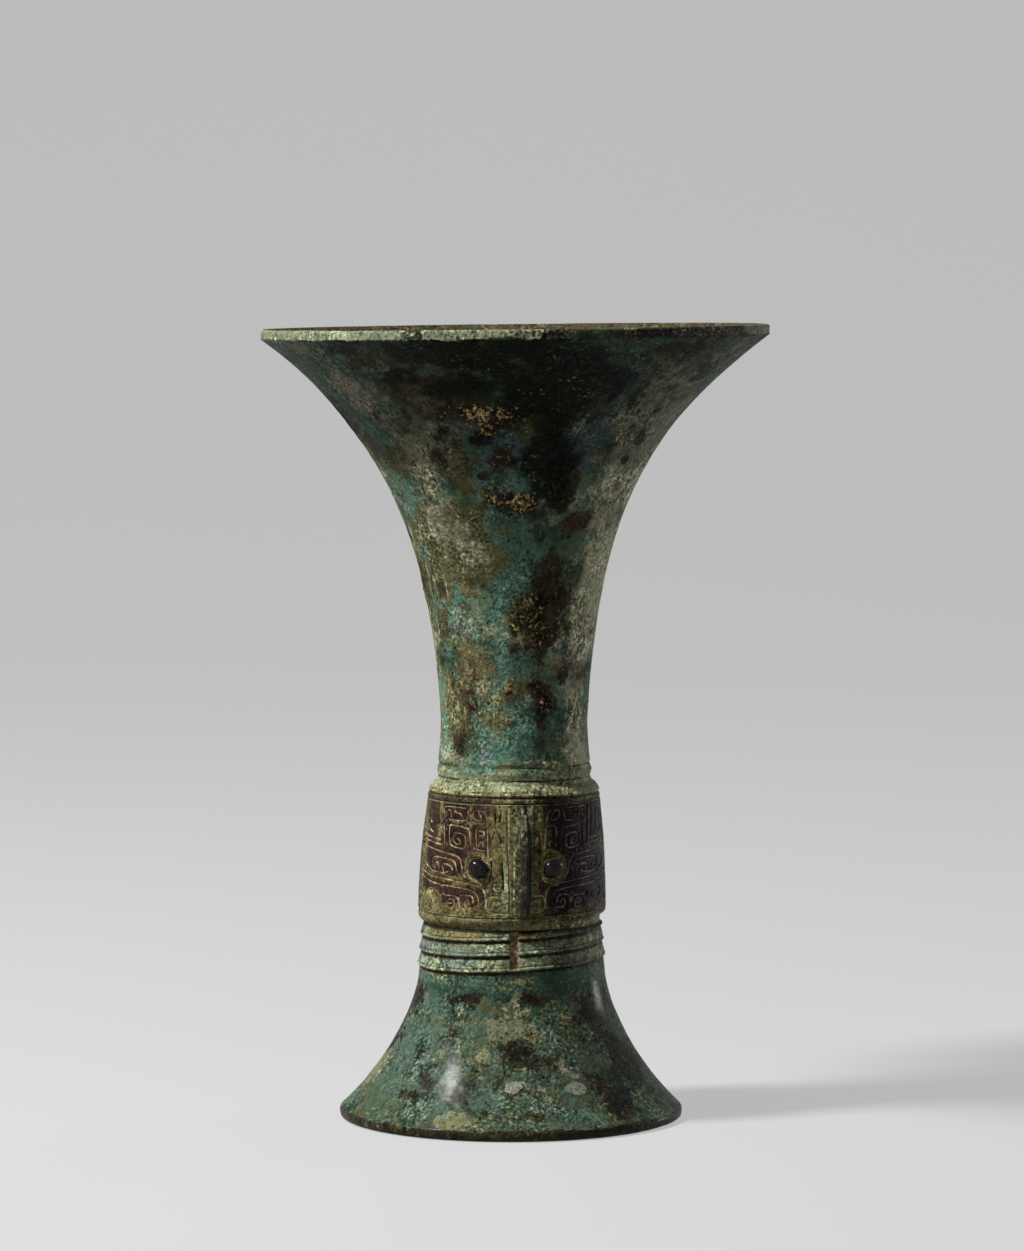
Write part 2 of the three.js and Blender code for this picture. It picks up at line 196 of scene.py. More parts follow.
def finishPiece(piece, material, slotName, *nodes):
    piece.data.materials.append(material)
    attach(piece, "root")
    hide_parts(*nodes)
    return piece


# The vessel's outlines, in mm

def span(node):
    # lowest and highest z of a CAD node, in mm
    low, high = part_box(node)
    return round(low[2] / mm, 2), round(high[2] / mm, 2)


body = {
    "height": 250, "rim": 80, "lip": 3.2, "rimRise": 0.9, "neck": 23.2, "neckZ": 126, "wall": 2.5,
    "knop": span("knop_wall"), "stemBottom": span("ridged_stem")[0], "foot": 54.3,
    "fieldBottom": 66.8, "fieldTop": 101.2, "faceTop": 27.3, "faceSpread": 2.3, "faceSwell": 0.3,
    "meanRadius": 28.9, "maskTurn": math.radians(2.0),
    "seamStep": 0.03,  # an extra ring this close to a seam keeps the shading level across it
    "margin": 0.02,  # the trumpet stays this far inside its outer sizes
}
knopBottom, knopTop = body["knop"]
fieldHeight = body["fieldTop"] - body["fieldBottom"]
lean = {"foot": -0.35, "neck": 0.65, "neckStarts": (64, 112), "neckEnds": (205, 150), "rim": 1.0,
        "rimStarts": (215, 243)}


def faceRadius(z):
    # the mask band's finished face: a cone, wider by the spread at its foot, with a swell at its middle
    share = np.clip((body["fieldTop"] - z) / fieldHeight, 0, 1)
    return body["faceTop"] + body["faceSpread"] * share + body["faceSwell"] * np.sin(np.pi * share)


def leaned(points):
    # the vessel isn't quite straight: x moves by the foot's lean below the stem, by the neck's lean from
    # the band up to the middle of the trumpet, and by the rim's lean near the top
    z = points[..., 2]
    shift = lean["foot"] * smoothStep(body["stemBottom"], 0, z)
    shift = shift + lean["neck"] * smoothStep(*lean["neckStarts"], z) * smoothStep(*lean["neckEnds"], z)
    shift = shift + lean["rim"] * smoothStep(*lean["rimStarts"], z)
    return np.stack([points[..., 0] + shift, points[..., 1], z], -1)


# Outlines are (r, z). The whole one only tells where a patch of patina lies
lipBottom = body["height"] - body["lip"]
trumpetFlare = bezier((body["neck"], body["neckZ"]), (25.8, 184.4), (41, 218.3),
                      (body["rim"], lipBottom), 200)
footFlare = bezier((53.9, 3.4), (45.6, 10.9), (32.4, 28.1), (29.6, body["stemBottom"]), 120)
outline = np.vstack([footFlare, [[28, 62], [29.9, 66]], [[27, 101], [24.6, 108]], trumpetFlare])


def outerPoint(turn, z):
    # the point of the outer face at a turn in degrees from the front and a height, in mm
    angle = math.radians(turn)
    r = float(np.interp(z, outline[:, 1], outline[:, 0]))
    return np.array([r * math.sin(angle), -r * math.cos(angle), z])


def zoneWarp(points):
    # ragged outlines: every zone's q is multiplied by 1 + 0.4 noise at 11 mm + 0.3 noise at 3.6 mm
    return 1 + 0.4 * fractalNoise(points, 11, 71, 2) + 0.3 * fractalNoise(points, 3.6, 74, 3)


def zone(points, spots, warp):
    # the largest amount x smoothStep(1.7, 0.2, q) of the spots, with
    # q = warp x hypot(across / half width, along / half height)
    field = np.zeros(points.shape[:-1])
    for turn, z, halfWidth, halfHeight, *amount in spots:
        angle = math.radians(turn)
        offset = points - outerPoint(turn, z)
        across = offset @ np.array([math.cos(angle), math.sin(angle), 0])
        along = np.sqrt(np.maximum((offset ** 2).sum(-1) - across ** 2, 0))
        q = warp * np.hypot(across / halfWidth, along / halfHeight)
        field = np.maximum(field, (amount[0] if amount else 1) * smoothStep(1.7, 0.2, q))
    return field


def zones(points, spotLists, names):
    # one field from 0 to 1 for each named list of spots
    warp = zoneWarp(points)
    return {name: zone(points, spotLists[name], warp) for name in names}


def flowOf(points, loop):
    # streaks follow the wall: (30 sin a, -30 cos a, length along the outline), in metres for the shader
    along = np.r_[0, np.cumsum(np.linalg.norm(np.diff(loop, axis=0), axis=1))][:, None]
    r = np.maximum(np.hypot(points[..., 0], points[..., 1]), 1e-6)
    return np.stack([30 * points[..., 0] / r, 30 * points[..., 1] / r, along + 0 * r], -1) * mm


def scatter(seed, count, turns, heights, sizes):
    # seeded spots inside a range of turns and heights, each up to twice as wide as high or the reverse
    rng = np.random.default_rng(seed)
    size = rng.uniform(*sizes, count)
    shape = 2 ** rng.uniform(-0.7, 0.7, count)
    return list(zip(rng.uniform(*turns, count), rng.uniform(*heights, count), size * shape, size / shape,
                    rng.uniform(0.6, 1, count)))


wear = {"dent": 0.16, "lump": 0.07, "pit": 0.3, "crust": 0.4, "cover": 0.1}


def weathered(points, fields, strength):
    # moves points along their normals: slow dents, low lumps, pits where two noises meet, and raised crusts.
    # strength is 0 at a seam, so that both sides of it stay level
    dents = -wear["dent"] * np.abs(fractalNoise(points, 44, 3, 2))
    lumps = wear["lump"] * fractalNoise(points, 6, 5, 5)
    pits = -wear["pit"] * smoothStep(0.5, 0.85, valueNoise(points, 1.9, 9))
    pits = pits * smoothStep(0.1, 0.5, valueNoise(points, 13, 4))
    crusts = fields.get("crust", 0) * (wear["crust"] + wear["crust"] * fractalNoise(points, 1.5, 21, 2))
    cover = wear["cover"] * np.clip(fields.get("olive", 0), 0, 1) * (1 + fractalNoise(points, 2.2, 23, 2))
    move = strength * (dents + lumps + pits + cover + crusts)
    return points + outwardOf(points) * move[..., None], -pits / wear["pit"]


def within(points, radius, low, high):
    # holds each point inside a cylinder round the axis
    r = np.hypot(points[..., 0], points[..., 1])
    scale = np.minimum(1, radius / np.maximum(r, 1e-6))
    return np.stack([points[..., 0] * scale, points[..., 1] * scale, np.clip(points[..., 2], low, high)], -1)


# Trumpet mouth and neck. A spot is turn in degrees, height, half width, half height and, if not 1, amount

around = (80, 285)

trumpet = {
    "turns": 400,
    "threads": [(110.7, 0.8, 0.42), (113.9, 0.5, 0.16), (112.7, 0.34, -0.26), (108.5, 0.3, -0.36)],
    "wornLip": [(-23.3, 248.6, 2.3, 1.9), (43, 248.4, 30, 7, 0.85), (17, 248.4, 14, 5, 0.55),
                (-2, 246.8, 5, 0.6), (9, 246.9, 4, 0.7), (130, 248.4, 20, 7), (220, 248.4, 14, 7),
                (268, 248.4, 8, 7)],
    "dark": [(-13, 215.5, 2.8, 2.3), (-4, 209.6, 5, 5, 0.85), (-13, 204.5, 2.2, 1.8), (39, 213, 2.6, 2.3),
             (31, 229, 2.2, 3.7), (55, 215, 2.7, 2.4), (53, 209, 2.6, 2.3), (54, 224, 2.7, 2.5),
             (26, 173, 5.3, 13), (22, 200, 7, 12, 0.9), (-46, 119.6, 2.3, 3.1), (39.5, 142, 2.1, 4),
             (18, 149, 3.5, 10, 0.8), (-20, 234, 9, 5, 0.9), (36, 190, 6, 4.6), (-30, 212, 4, 10, 0.6),
             (18.5, 137.7, 3.6, 3.2), (24.7, 132.6, 3.6, 3.4), (60, 236, 12, 5, 0.7), (2, 151, 5, 8, 0.5)]
            + scatter(31, 18, around, (118, 240), (3, 14)),
    # painted shade on dark patina: near black under the rim and down the middle of the flare
    "shade": [(-12, 243, 36, 7), (-16, 232, 22, 8, 0.8), (10, 233, 22, 18), (14, 208, 8, 18, 0.9),
              (40, 243, 16, 4, 0.6), (-45, 244, 10, 3, 0.5)] + scatter(37, 5, around, (222, 246), (12, 26)),
    "olive": [(-34, 187, 15, 15), (-52, 209, 7, 6), (-23, 177, 10, 8), (-28, 226, 11, 13, 0.9),
              (-54, 174, 8, 9), (-42, 240, 7, 4), (9, 158.5, 6, 9), (-3, 137, 4, 4), (9, 222, 13, 12, 0.8),
              (-22, 205, 7, 9, 0.8), (-50, 130, 7, 16), (34, 189, 5.7, 4.6, 0.7), (-33, 141, 9, 11, 0.8),
              (-12, 128, 8, 6, 0.6)]
             + scatter(32, 18, around, (112, 240), (5, 15)),
    "teal": [(2, 179, 8, 19), (-2, 152, 5, 12), (-44, 167.5, 5, 3.6), (-7, 143, 4, 4), (10, 126, 9, 6),
             (-55, 195, 5, 14), (-3, 118, 8, 3), (-62, 222, 7, 14), (35, 222, 6, 14, 0.7)]
            + scatter(38, 12, around, (112, 240), (5, 16)),
    "blue": [(-6, 218, 10, 5), (-18, 222, 4, 8, 0.8), (-2, 212, 11, 9, 0.8), (33, 226, 8, 10, 0.8),
             (-48, 196, 4, 8, 0.7), (30, 214, 7, 16, 0.7), (-20, 115.5, 8, 2.5, 0.5), (-4, 200, 7, 5, 0.7)]
            + scatter(39, 9, around, (150, 240), (5, 13)),
    # a pale grey film, with painted sheen of a light from the right on the right side
    "greyFilmAndSheen": [(60, 214, 17, 27), (57, 148, 6, 30), (-53, 230, 9, 9), (68, 180, 10, 28), (-36, 215, 7, 10, 0.6)]
            + scatter(33, 8, around, (116, 240), (6, 18)),
    "red": [(-25.4, 166.8, 2.6, 1.9), (19.4, 137.7, 2.2, 1.6), (24.7, 132.6, 2.4, 2.4), (21.7, 125.7, 2, 1.6),
            (-37, 139, 4, 9, 0.8), (34, 189, 4.5, 3.6, 0.8), (-44, 143, 2, 5, 0.7), (-34, 128, 3, 9, 0.7),
            (40, 212, 2.6, 2, 0.8)] + scatter(34, 18, around, (114, 236), (1.6, 3.6)),
    # pale flecks and films; the long spot at 56 degrees on the right is painted sheen of a light from the
    # right
    "pale": [(-14.7, 138.3, 3.3, 3.1), (5, 131.2, 1.4, 2.6), (14.2, 122.1, 2.4, 1), (-21, 117.4, 1, 2),
             (-43, 157, 12, 15, 0.9), (-18, 130, 6, 9), (-30, 118, 12, 6, 0.9), (56, 142, 6, 30, 0.8),
             (-60, 150, 9, 40, 0.9), (0, 113, 26, 2, 0.8), (-50, 226, 9, 12, 0.5), (-45, 130, 8, 16, 0.8),
             (-24, 146, 6, 6, 0.7), (-34, 190, 10, 12, 0.4)]
            + scatter(35, 16, around, (112, 236), (1.5, 7)),
    "crust": [(-10.2, 224.3, 11, 5.2), (2.1, 196.6, 10, 4), (9.2, 158.5, 6, 10, 0.7),
              (-2.6, 136.8, 4, 4, 0.7), (24.7, 132.6, 2.4, 2.4, 0.7), (-2.5, 209.6, 4, 4, 0.6),
              (4, 165, 4, 5, 0.6)]
             + scatter(36, 7, around, (118, 236), (2.5, 7)),
}


def neckRadius(z):
    # a cone between the band and the narrowest place, with worn thread ridges and grooves on it
    radius = np.interp(z, [knopTop, 108.6, 112, 119, body["neckZ"]], [24.45, 24.2, 24, 23.5, body["neck"]])
    for at, width, rise in trumpet["threads"]:
        radius = radius + rise * hill(z, at, width)
    return radius


def makeTrumpet(material):
    # the neck, the flare, the rounded lip and the inner wall as one closed profile, turned and weathered
    neckZ = np.r_[knopTop, np.arange(knopTop + body["seamStep"], body["neckZ"], 0.45)]
    neck = np.column_stack([neckRadius(neckZ), neckZ])
    outer = np.vstack([neck, resample(trumpetFlare, 1.2)])
    inside = offsetRun(np.vstack([[[24, 112]], trumpetFlare]), body["wall"])
    inside = inside[(inside[:, 1] > 113) & (inside[:, 1] < lipBottom)][::-1]
    edge = body["rim"] - 0.05
    lip = [[edge, 247.3], [edge, 248.2], [edge, 249.2], [79.75, 249.7], [79.35, 249.95], [78.8, 250],
           [78.2, 249.8]]
    loop = np.vstack([outer, lip, resample(inside, 2.5), [[22.1, knopTop], [23.5, knopTop]]])
    points = ring(loop, trumpet["turns"])
    fields = zones(points, trumpet, ("dark", "shade", "olive", "teal", "blue", "greyFilmAndSheen", "red", "pale", "crust",
                                     "wornLip"))
    z = points[..., 2]
    row = np.arange(len(loop))[:, None] + 0 * z
    wave = 0.4 * fractalNoise(points, 5, 73, 4)
    # painted shade: the upper flare, which faces down, is darkened from 196 mm up by a multiplying layer
    fields["high"] = smoothStep(196, 214, z)
    lipMask = smoothStep(lipBottom - 0.2, lipBottom + 0.4, z + wave) * (row < len(outer) + 5)
    fields["lip"] = lipMask * (1 - fields["wornLip"])
    fields["wornLip"] = lipMask * fields["wornLip"]
    fields["inside"] = (row > len(outer) + 4) * 1.0
    fields["collar"] = smoothStep(114, 109.6, z + 3 * wave)
    # painted shade on dark patina in the thread grooves, broken by a noise
    worn = sum(hill(z + 0.2 * wave, at, width) for at, width, rise in trumpet["threads"] if rise < 0)
    fields["groove"] = worn * (row < len(outer)) * smoothStep(-0.6, 0.3, valueNoise(points, 8, 76))
    fields["flow"] = flowOf(points, loop)
    moved, fields["pit"] = weathered(points, fields, smoothStep(knopTop, knopTop + 1.5, z))
    flat = points[..., 2] < knopTop + 0.05
    moved = within(np.where(flat[..., None], points, moved), body["rim"] - body["margin"], knopTop,
                   body["height"] - body["margin"])
    # the mouth is warped: its right side stands higher
    tip = smoothStep(body["neckZ"], body["height"], moved[..., 2])
    moved[..., 2] += body["rimRise"] * tip * moved[..., 0] / body["rim"]
    return finishPiece(turnedPiece("trumpet", moved, fields), material, "green_patina", "trumpet_mouth")


# Foot and the spacers that show in it

foot = {
    "turns": 460, "wall": 2.9, "edgeTop": 3.5,
    "spacers": {"foot_spacer_1": (1, 15.6, 3, 2.5), "foot_spacer_2": (27, 14.6, 3.3, 2.2),
                "foot_spacer_3": (148, 17, 3.2, 2.4), "foot_spacer_4": (243, 16.5, 2.8, 2.6)},
    "dark": [(1.7, 25.9, 5.7, 4.1), (17, 41.6, 5.6, 3.4), (-26, 41, 7, 4.6, 0.8), (45, 12, 12, 9, 0.8),
             (-38, 16, 6, 5, 0.7), (20, 22, 6, 4, 0.6), (-8, 17, 5, 4, 0.6), (64, 22, 11, 18, 0.8),
             (50, 36, 6, 8, 0.8), (-52, 23, 6, 5, 0.7), (-42, 12, 6, 3, 0.6), (-34, 29, 4, 4, 0.6)]
            + scatter(41, 15, around, (6, 44), (3, 9)),
    "halo": [(-7, 33, 3.4, 3.2), (0, 37.5, 3.2, 2.6), (16, 33.5, 3.6, 3.2), (-27, 36, 3, 3.4), (40, 8, 4, 3),
             (150, 30, 3.4, 3.2), (215, 20, 3.6, 3)],
    "olive": [(-5.6, 32.6, 7.1, 5.4), (29.6, 34.7, 5.5, 4.7), (-19.5, 5.8, 7.5, 3.3), (-14, 24, 5, 4, 0.8),
              (0, 38, 12, 3, 0.7), (12, 30, 5, 4, 0.6), (-25, 40, 3, 2), (2, 40, 3, 4)]
             + scatter(42, 12, around, (5, 42), (3, 9)),
    "teal": [(-56, 22, 15, 11), (16, 33, 3, 2.5, 0.6), (8, 9, 4, 2.5), (-45, 40, 9, 6), (-30, 9, 10, 5, 0.8),
             (-10, 12, 5, 4, 0.8), (24, 28, 8, 5, 0.6)] + scatter(46, 10, around, (5, 42), (5, 12)),
    # a grey film; the spot at 38 degrees near the top is also painted sheen of a light from the right
    "greyFilmAndSheen": [(38, 41, 3, 5, 0.8), (-27, 28, 6, 8, 0.5)] + scatter(43, 7, around, (6, 42), (4, 9)),
    "red": [(-20.5, 13.5, 3.7, 3.4), (5.2, 8, 6.3, 2.5), (-17, 37, 2.5, 2.2, 0.7)]
           + scatter(44, 9, around, (6, 42), (1.6, 4)),
    "pale": [(-5, 34, 3, 3, 0.8), (-12, 34.5, 2.6, 2.4, 0.8), (24, 17.5, 16, 5.5, 0.9),
             (-41.7, 41.6, 2.1, 1.5), (-58, 6, 12, 4), (14, 9, 5, 2), (8, 20, 6, 2, 0.8)]
            + scatter(45, 12, around, (6, 42), (1.5, 6)),
}


def makeFoot(material):
    # the standing edge, the flare, the seat of the stem and the inner wall as one closed profile
    inside = offsetRun(footFlare, foot["wall"])
    inside = inside[(inside[:, 1] > 3.9) & (inside[:, 1] < body["stemBottom"] - 2)][::-1]
    edge = [[49, 0], [50.5, 0], [52.5, 0.02], [53.5, 0.25], [54.1, 0.8], [54.3, 1.9], [54.2, 2.9]]
    seat = [[29.59, body["stemBottom"]], [26.4, body["stemBottom"]]]
    outer = np.vstack([resample(edge, 0.45), resample(footFlare, 0.62)])
    outer[-1] -= (0, body["seamStep"])
    loop = np.vstack([outer, seat, resample(inside, 1.5)])
    points = ring(loop, foot["turns"])
    fields = zones(points, foot, ("dark", "olive", "teal", "greyFilmAndSheen", "red", "pale"))
    wave = 0.5 * fractalNoise(points, 9, 2, 4)
    z = points[..., 2]
    bottom = body["stemBottom"]
    fields["edge"] = smoothStep(foot["edgeTop"] + 0.6, foot["edgeTop"] - 0.5, z + wave)
    turn = np.degrees(np.arctan2(points[..., 0], -points[..., 1]))
    fields["collar"] = smoothStep(bottom - 2, bottom - 0.4, z + wave) * hill(turn, 3, 26)
    fields["top"] = smoothStep(bottom - 5, bottom - 1.5, z + 3 * wave)
    fields["flow"] = flowOf(points, loop)
    fields["inside"] = (np.arange(len(loop)) > len(outer)).astype(float)[:, None] + 0 * wave
    # ring marks: round spots less the same spots at 0.6 of their size
    inner = [(turn, z, 0.6 * halfWidth, 0.6 * halfHeight) for turn, z, halfWidth, halfHeight in foot["halo"]]
    warp = 0.5 + 0.5 * zoneWarp(points)
    fields["halo"] = zone(points, foot["halo"], warp) * (1 - zone(points, inner, warp))
    moved, fields["pit"] = weathered(points, fields, 0.8 * smoothStep(bottom, bottom - 3, z))
    flat = (z < 0.05) | (z > bottom - 0.05)
    moved = within(np.where(flat[..., None], points, moved), body["foot"], 0, bottom)
    return finishPiece(turnedPiece("foot", moved, fields), material, "green_patina", "flared_foot")


def makeSpacer(name, spot, material):
    # a low ragged plate: rings of radius q round the spot, laid on the foot and sunk into it at the rim
    turn, z, halfWidth, halfHeight = spot
    seed = len(name) + round(turn)
    q = np.r_[np.linspace(0.04, 1, 16), 1.02, 0.9][:, None]
    lift = np.r_[np.full(15, 0.1), 0.04, -0.5, -0.9][:, None]
    a = np.linspace(0, tau, 72, endpoint=False)
    ragged = 1 + 0.22 * fractalNoise(np.stack([np.cos(a), np.sin(a), 0 * a], -1), 0.9, seed, 3)
    across, up = q * halfWidth * ragged * np.cos(a), q * halfHeight * ragged * np.sin(a)
    slope = np.gradient(footFlare, axis=0)
    slope /= np.linalg.norm(slope, axis=1)[:, None]
    height = z + up * np.interp(z, footFlare[:, 1], slope[:, 1])
    radius = np.interp(height, footFlare[:, 1], footFlare[:, 0])
    lift = lift + 0.03 * valueNoise(np.stack([across, up, 0 * up], -1), 1.1, seed) * (q < 1)
    radius = radius + lift * np.interp(z, footFlare[:, 1], slope[:, 1])
    angle = math.radians(turn) + across / radius
    points = np.stack([radius * np.sin(angle), -radius * np.cos(angle), height + 0.5 * lift], -1)
    piece = cappedPiece(f"{name}_skin", points[::-1, ::-1])
    return finishPiece(piece, material, "grey_spacer", name)


# Stem with its bowstring ridges. A ridge is a round line over an undercut, with a sloping strip above it

stem = {
    "turns": 480, "bottomRadius": 29.6, "topRadius": 27.8, "edges": [59.4, 54.6, 49.7], "tilt": 0.058,
    "wanderLimit": 1.3, "slotTurn": 1.7, "slotWidth": 2.8, "slotTop": 61.8, "slotBottom": 50.2,
    "slotFloor": 27.3,
    "stripAt": [-0.8, -0.45, -0.1, 0.1, 0.45, 0.85, 1.15, 1.5, 4.0],
    "stripRise": [0, -0.3, 0.05, 0.7, 0.98, 0.78, 0.46, 0.62, 0.12],
    "olive": [(-38, 60.8, 46, 2.4), (14, 60.3, 9, 1.6), (3, 46.6, 13, 1), (-55, 48, 8, 2, 0.7)]
             + scatter(51, 10, around, (49, 61), (2, 8)),
    "pale": [(-50, 56, 13, 3), (-38, 51.5, 9, 2), (9, 56, 4, 1.4), (-12, 55.5, 8, 1.2, 0.7), (-70, 62, 8, 2)]
            + scatter(52, 12, around, (45, 61), (2, 9)),
    "dark": [(40, 51, 9, 3, 0.8), (35, 60, 8, 2, 0.8), (18, 50.5, 6, 1.6, 0.6), (62, 56, 8, 6, 0.5)]
            + scatter(53, 9, around, (45, 61), (2, 7)),
    "red": [(-16, 49.6, 9, 0.5, 0.8), (-30, 54.8, 12, 0.4, 0.7)] + scatter(54, 6, around, (46, 61), (1, 3)),
}


def ridgeRise(z):
    # the strips' profile above the plain stem, read between set points measured up from each ridge's edge
    rise = 0
    for edge in stem["edges"]:
        rise = np.maximum(rise, np.interp(z - edge, stem["stripAt"], stem["stripRise"], left=0, right=0))
    return rise


def makeStem(material):
    # a cone with the ridges and two opposite slots on it, and the bore
    bottom = body["stemBottom"]
    step = body["seamStep"]
    zs = np.r_[bottom, np.linspace(bottom + step, knopBottom - step, 118), knopBottom]
    narrowing = stem["topRadius"] - stem["bottomRadius"]
    cone = stem["bottomRadius"] + (zs - bottom) * narrowing / (knopBottom - bottom)
    bore = [[24.4, knopBottom], [25.2, 56], [25.8, 50], [26.2, bottom]]
    loop = np.vstack([np.column_stack([cone, zs]), bore])
    points = ring(loop, stem["turns"])
    isOuter = np.arange(len(loop))[:, None] < len(zs)
    z = points[..., 2]
    # the ridges wander, and stand a little lower on the left than on the right
    wander = 0.16 * valueNoise(points * np.array([1, 1, 0.2]), 11, 2) - stem["tilt"] * points[..., 0]
    wander = np.minimum(wander * smoothStep(bottom, bottom + 2, z), stem["wanderLimit"])
    worn = 0.85 + 0.25 * valueNoise(points * np.array([1, 1, 0.3]), 9, 6)
    rise = ridgeRise(z + wander) * worn
    inner = smoothStep(knopBottom, knopBottom - 0.5, z) * smoothStep(bottom, bottom + 0.6, z)
    rise = rise * inner + 0.06 * fractalNoise(points, 3.4, 12, 4) * inner
    radius = np.hypot(points[..., 0], points[..., 1])
    angle = np.arctan2(points[..., 0], -points[..., 1])
    cut = np.zeros_like(z)
    half = stem["slotWidth"] / 2
    for turn in (stem["slotTurn"], stem["slotTurn"] + 180):
        across = radius * np.abs(np.angle(np.exp(1j * (angle - math.radians(turn)))))
        across = across + 0.12 * valueNoise(points, 1.6, 14)
        tall = smoothStep(stem["slotBottom"] - 0.3, stem["slotBottom"] + 0.3, z)
        tall = tall * smoothStep(stem["slotTop"] + 0.3, stem["slotTop"] - 0.3, z)
        cut = np.maximum(cut, smoothStep(half + 0.14, half - 0.14, across) * tall)
    slotFloor = stem["slotFloor"] + (knopBottom - z) * 0.1 + 0.1 * fractalNoise(points, 1.8, 15, 3)
    full = radius + rise
    skin = np.where(isOuter, full * (1 - cut) + np.minimum(full, slotFloor) * cut, radius)
    moved = np.stack([skin * np.sin(angle), -skin * np.cos(angle), z], -1)
    fields = zones(points, stem, ("olive", "pale", "dark", "red"))
    place = z + wander
    # painted highlight: a pale line along each ridge's crest
    crest = sum(hill(place, edge + 0.45, 0.27) for edge in stem["edges"])
    above = sum(hill(place, edge + 1.15, 0.24) for edge in stem["edges"])
    # painted shade: near black under each ridge's undercut and under the band's lower edge
    undercutShade = sum(hill(place, edge - 0.5, 0.6) for edge in stem["edges"]) + hill(z, knopBottom, 1.1)
    lowest = stem["edges"][-1]
    fields.update({"crest": crest * isOuter, "above": above * isOuter, "undercutShade": undercutShade * isOuter,
                   "slot": cut * isOuter, "base": smoothStep(lowest - 0.3, lowest - 1.3, place)})
    return finishPiece(turnedPiece("stem", moved, fields), material, "pale_green_patina", "ridged_stem")


# Mask band: plain borders over and under a recessed field

knop = {
    "turns": 440,
    "grooves": [(101.75, 0.28, 0.32), (103.55, 0.3, 0.42), (66.2, 0.22, 0.3)],
    "low": [[27.7, 62.3], [27.7, 62.33], [27.8, 62.8], [28.3, 63], [29, 63.4], [29.45, 64], [29.7, 64.9],
            [29.65, 66.8]],
    "bottomRise": 0.9, "bottomTilt": 0.04, "riseLimits": (-0.2, 1.8), "riseStarts": (62.33, 62.8),
    "riseEnds": (66.7, 63.6), "crestZ": 104.45, "crestRise": 0.16,
    "high": [[27.3, 101.2], [27.25, 102], [27.1, 102.9], [26.95, 103.7], [26.8, 104.4], [26.6, 105.1],
             [26.2, 105.8], [25.6, 106.4], [24.6, 107.15], [24.45, 107.2]],
    "olive": [(-40, 105, 16, 3), (-15, 64.5, 22, 2), (-55, 80, 4, 20)]
             + scatter(61, 10, around, (62, 107), (2, 8)),
    "dark": [(30, 103, 16, 1.2, 0.7), (45, 64, 12, 2, 0.8), (-8, 102.6, 14, 0.6, 0.8)]
            + scatter(62, 8, around, (62, 107), (2, 6)),
    "pale": [(8, 105.2, 26, 0.8), (-30, 106, 14, 1.4), (55, 104, 8, 2)]
            + scatter(63, 9, around, (62, 107), (2, 6)),
    "red": scatter(64, 4, around, (62, 107), (1, 2.5)),
}


def makeKnop(material):
    # border outlines with grooves cut by hills, a recess between them, and the bore
    fieldZ = np.linspace(body["fieldBottom"], body["fieldTop"], 34)
    field = np.column_stack([faceRadius(fieldZ) - 0.95, fieldZ])
    bore = resample([[22.1, knopTop], [22.6, 98], [23.6, 80], [24.4, 69], [24.4, knopBottom]], 1.6)
    loop = np.vstack([knop["low"][:1], resample(knop["low"][1:], 0.26), field,
                      resample(knop["high"][:-1], 0.22), knop["high"][-1:], bore])
    points = ring(loop, knop["turns"])
    isOuter = np.arange(len(loop))[:, None] < len(loop) - len(bore)
    z = points[..., 2]
    wander = 0.12 * valueNoise(points * np.array([1, 1, 0.2]), 9, 3)
    groove = sum(depth * hill(z + wander, at, width) for at, width, depth in knop["grooves"])
    crest = knop["crestRise"] * hill(z + wander, knop["crestZ"], 0.4)
    rough = 0.05 * fractalNoise(points, 3.2, 16, 4) - 0.1 * np.abs(fractalNoise(points, 30, 17, 2))
    move = (crest - groove + rough) * isOuter
    ends = smoothStep(knopBottom, knopBottom + 0.3, z) * smoothStep(knopTop, knopTop - 0.3, z)
    moved = points + outwardOf(points) * (move * ends)[..., None]
    # the lower edge stands higher on the right: z moves by rise + tilt x, fading out towards the seam and
    # the field
    lifted = np.clip(knop["bottomRise"] + knop["bottomTilt"] * points[..., 0], *knop["riseLimits"]) * isOuter
    moved[..., 2] += lifted * smoothStep(*knop["riseEnds"], z) * smoothStep(*knop["riseStarts"], z)
    fields = zones(points, knop, ("olive", "dark", "pale", "red"))
    # the border grooves are painted dark, as painted shade on dark patina
    fields["groove"] = np.clip(groove / 0.3, 0, 1) * isOuter
    angle = np.degrees(np.arctan2(points[..., 0], -points[..., 1]))
    fields["strip"] = smoothStep(101.5, 102, z) * smoothStep(103.5, 103, z)
    fields["strip"] = fields["strip"] * smoothStep(10, 22, np.abs(angle - 4))
    fields["crest"] = hill(z + wander, knop["crestZ"], 0.42) * isOuter
    fields["slope"] = smoothStep(104.8, 105.5, z + 2 * wander) * isOuter
    moved[..., 2] = np.clip(moved[..., 2], knopBottom, knopTop)
    return finishPiece(turnedPiece("maskBand", moved, fields), material, "pale_green_patina", "knop_wall")


# Mask relief. Its sunk lines are paths of (u, v) in mm: u from the middle of the mask, v up from the bottom

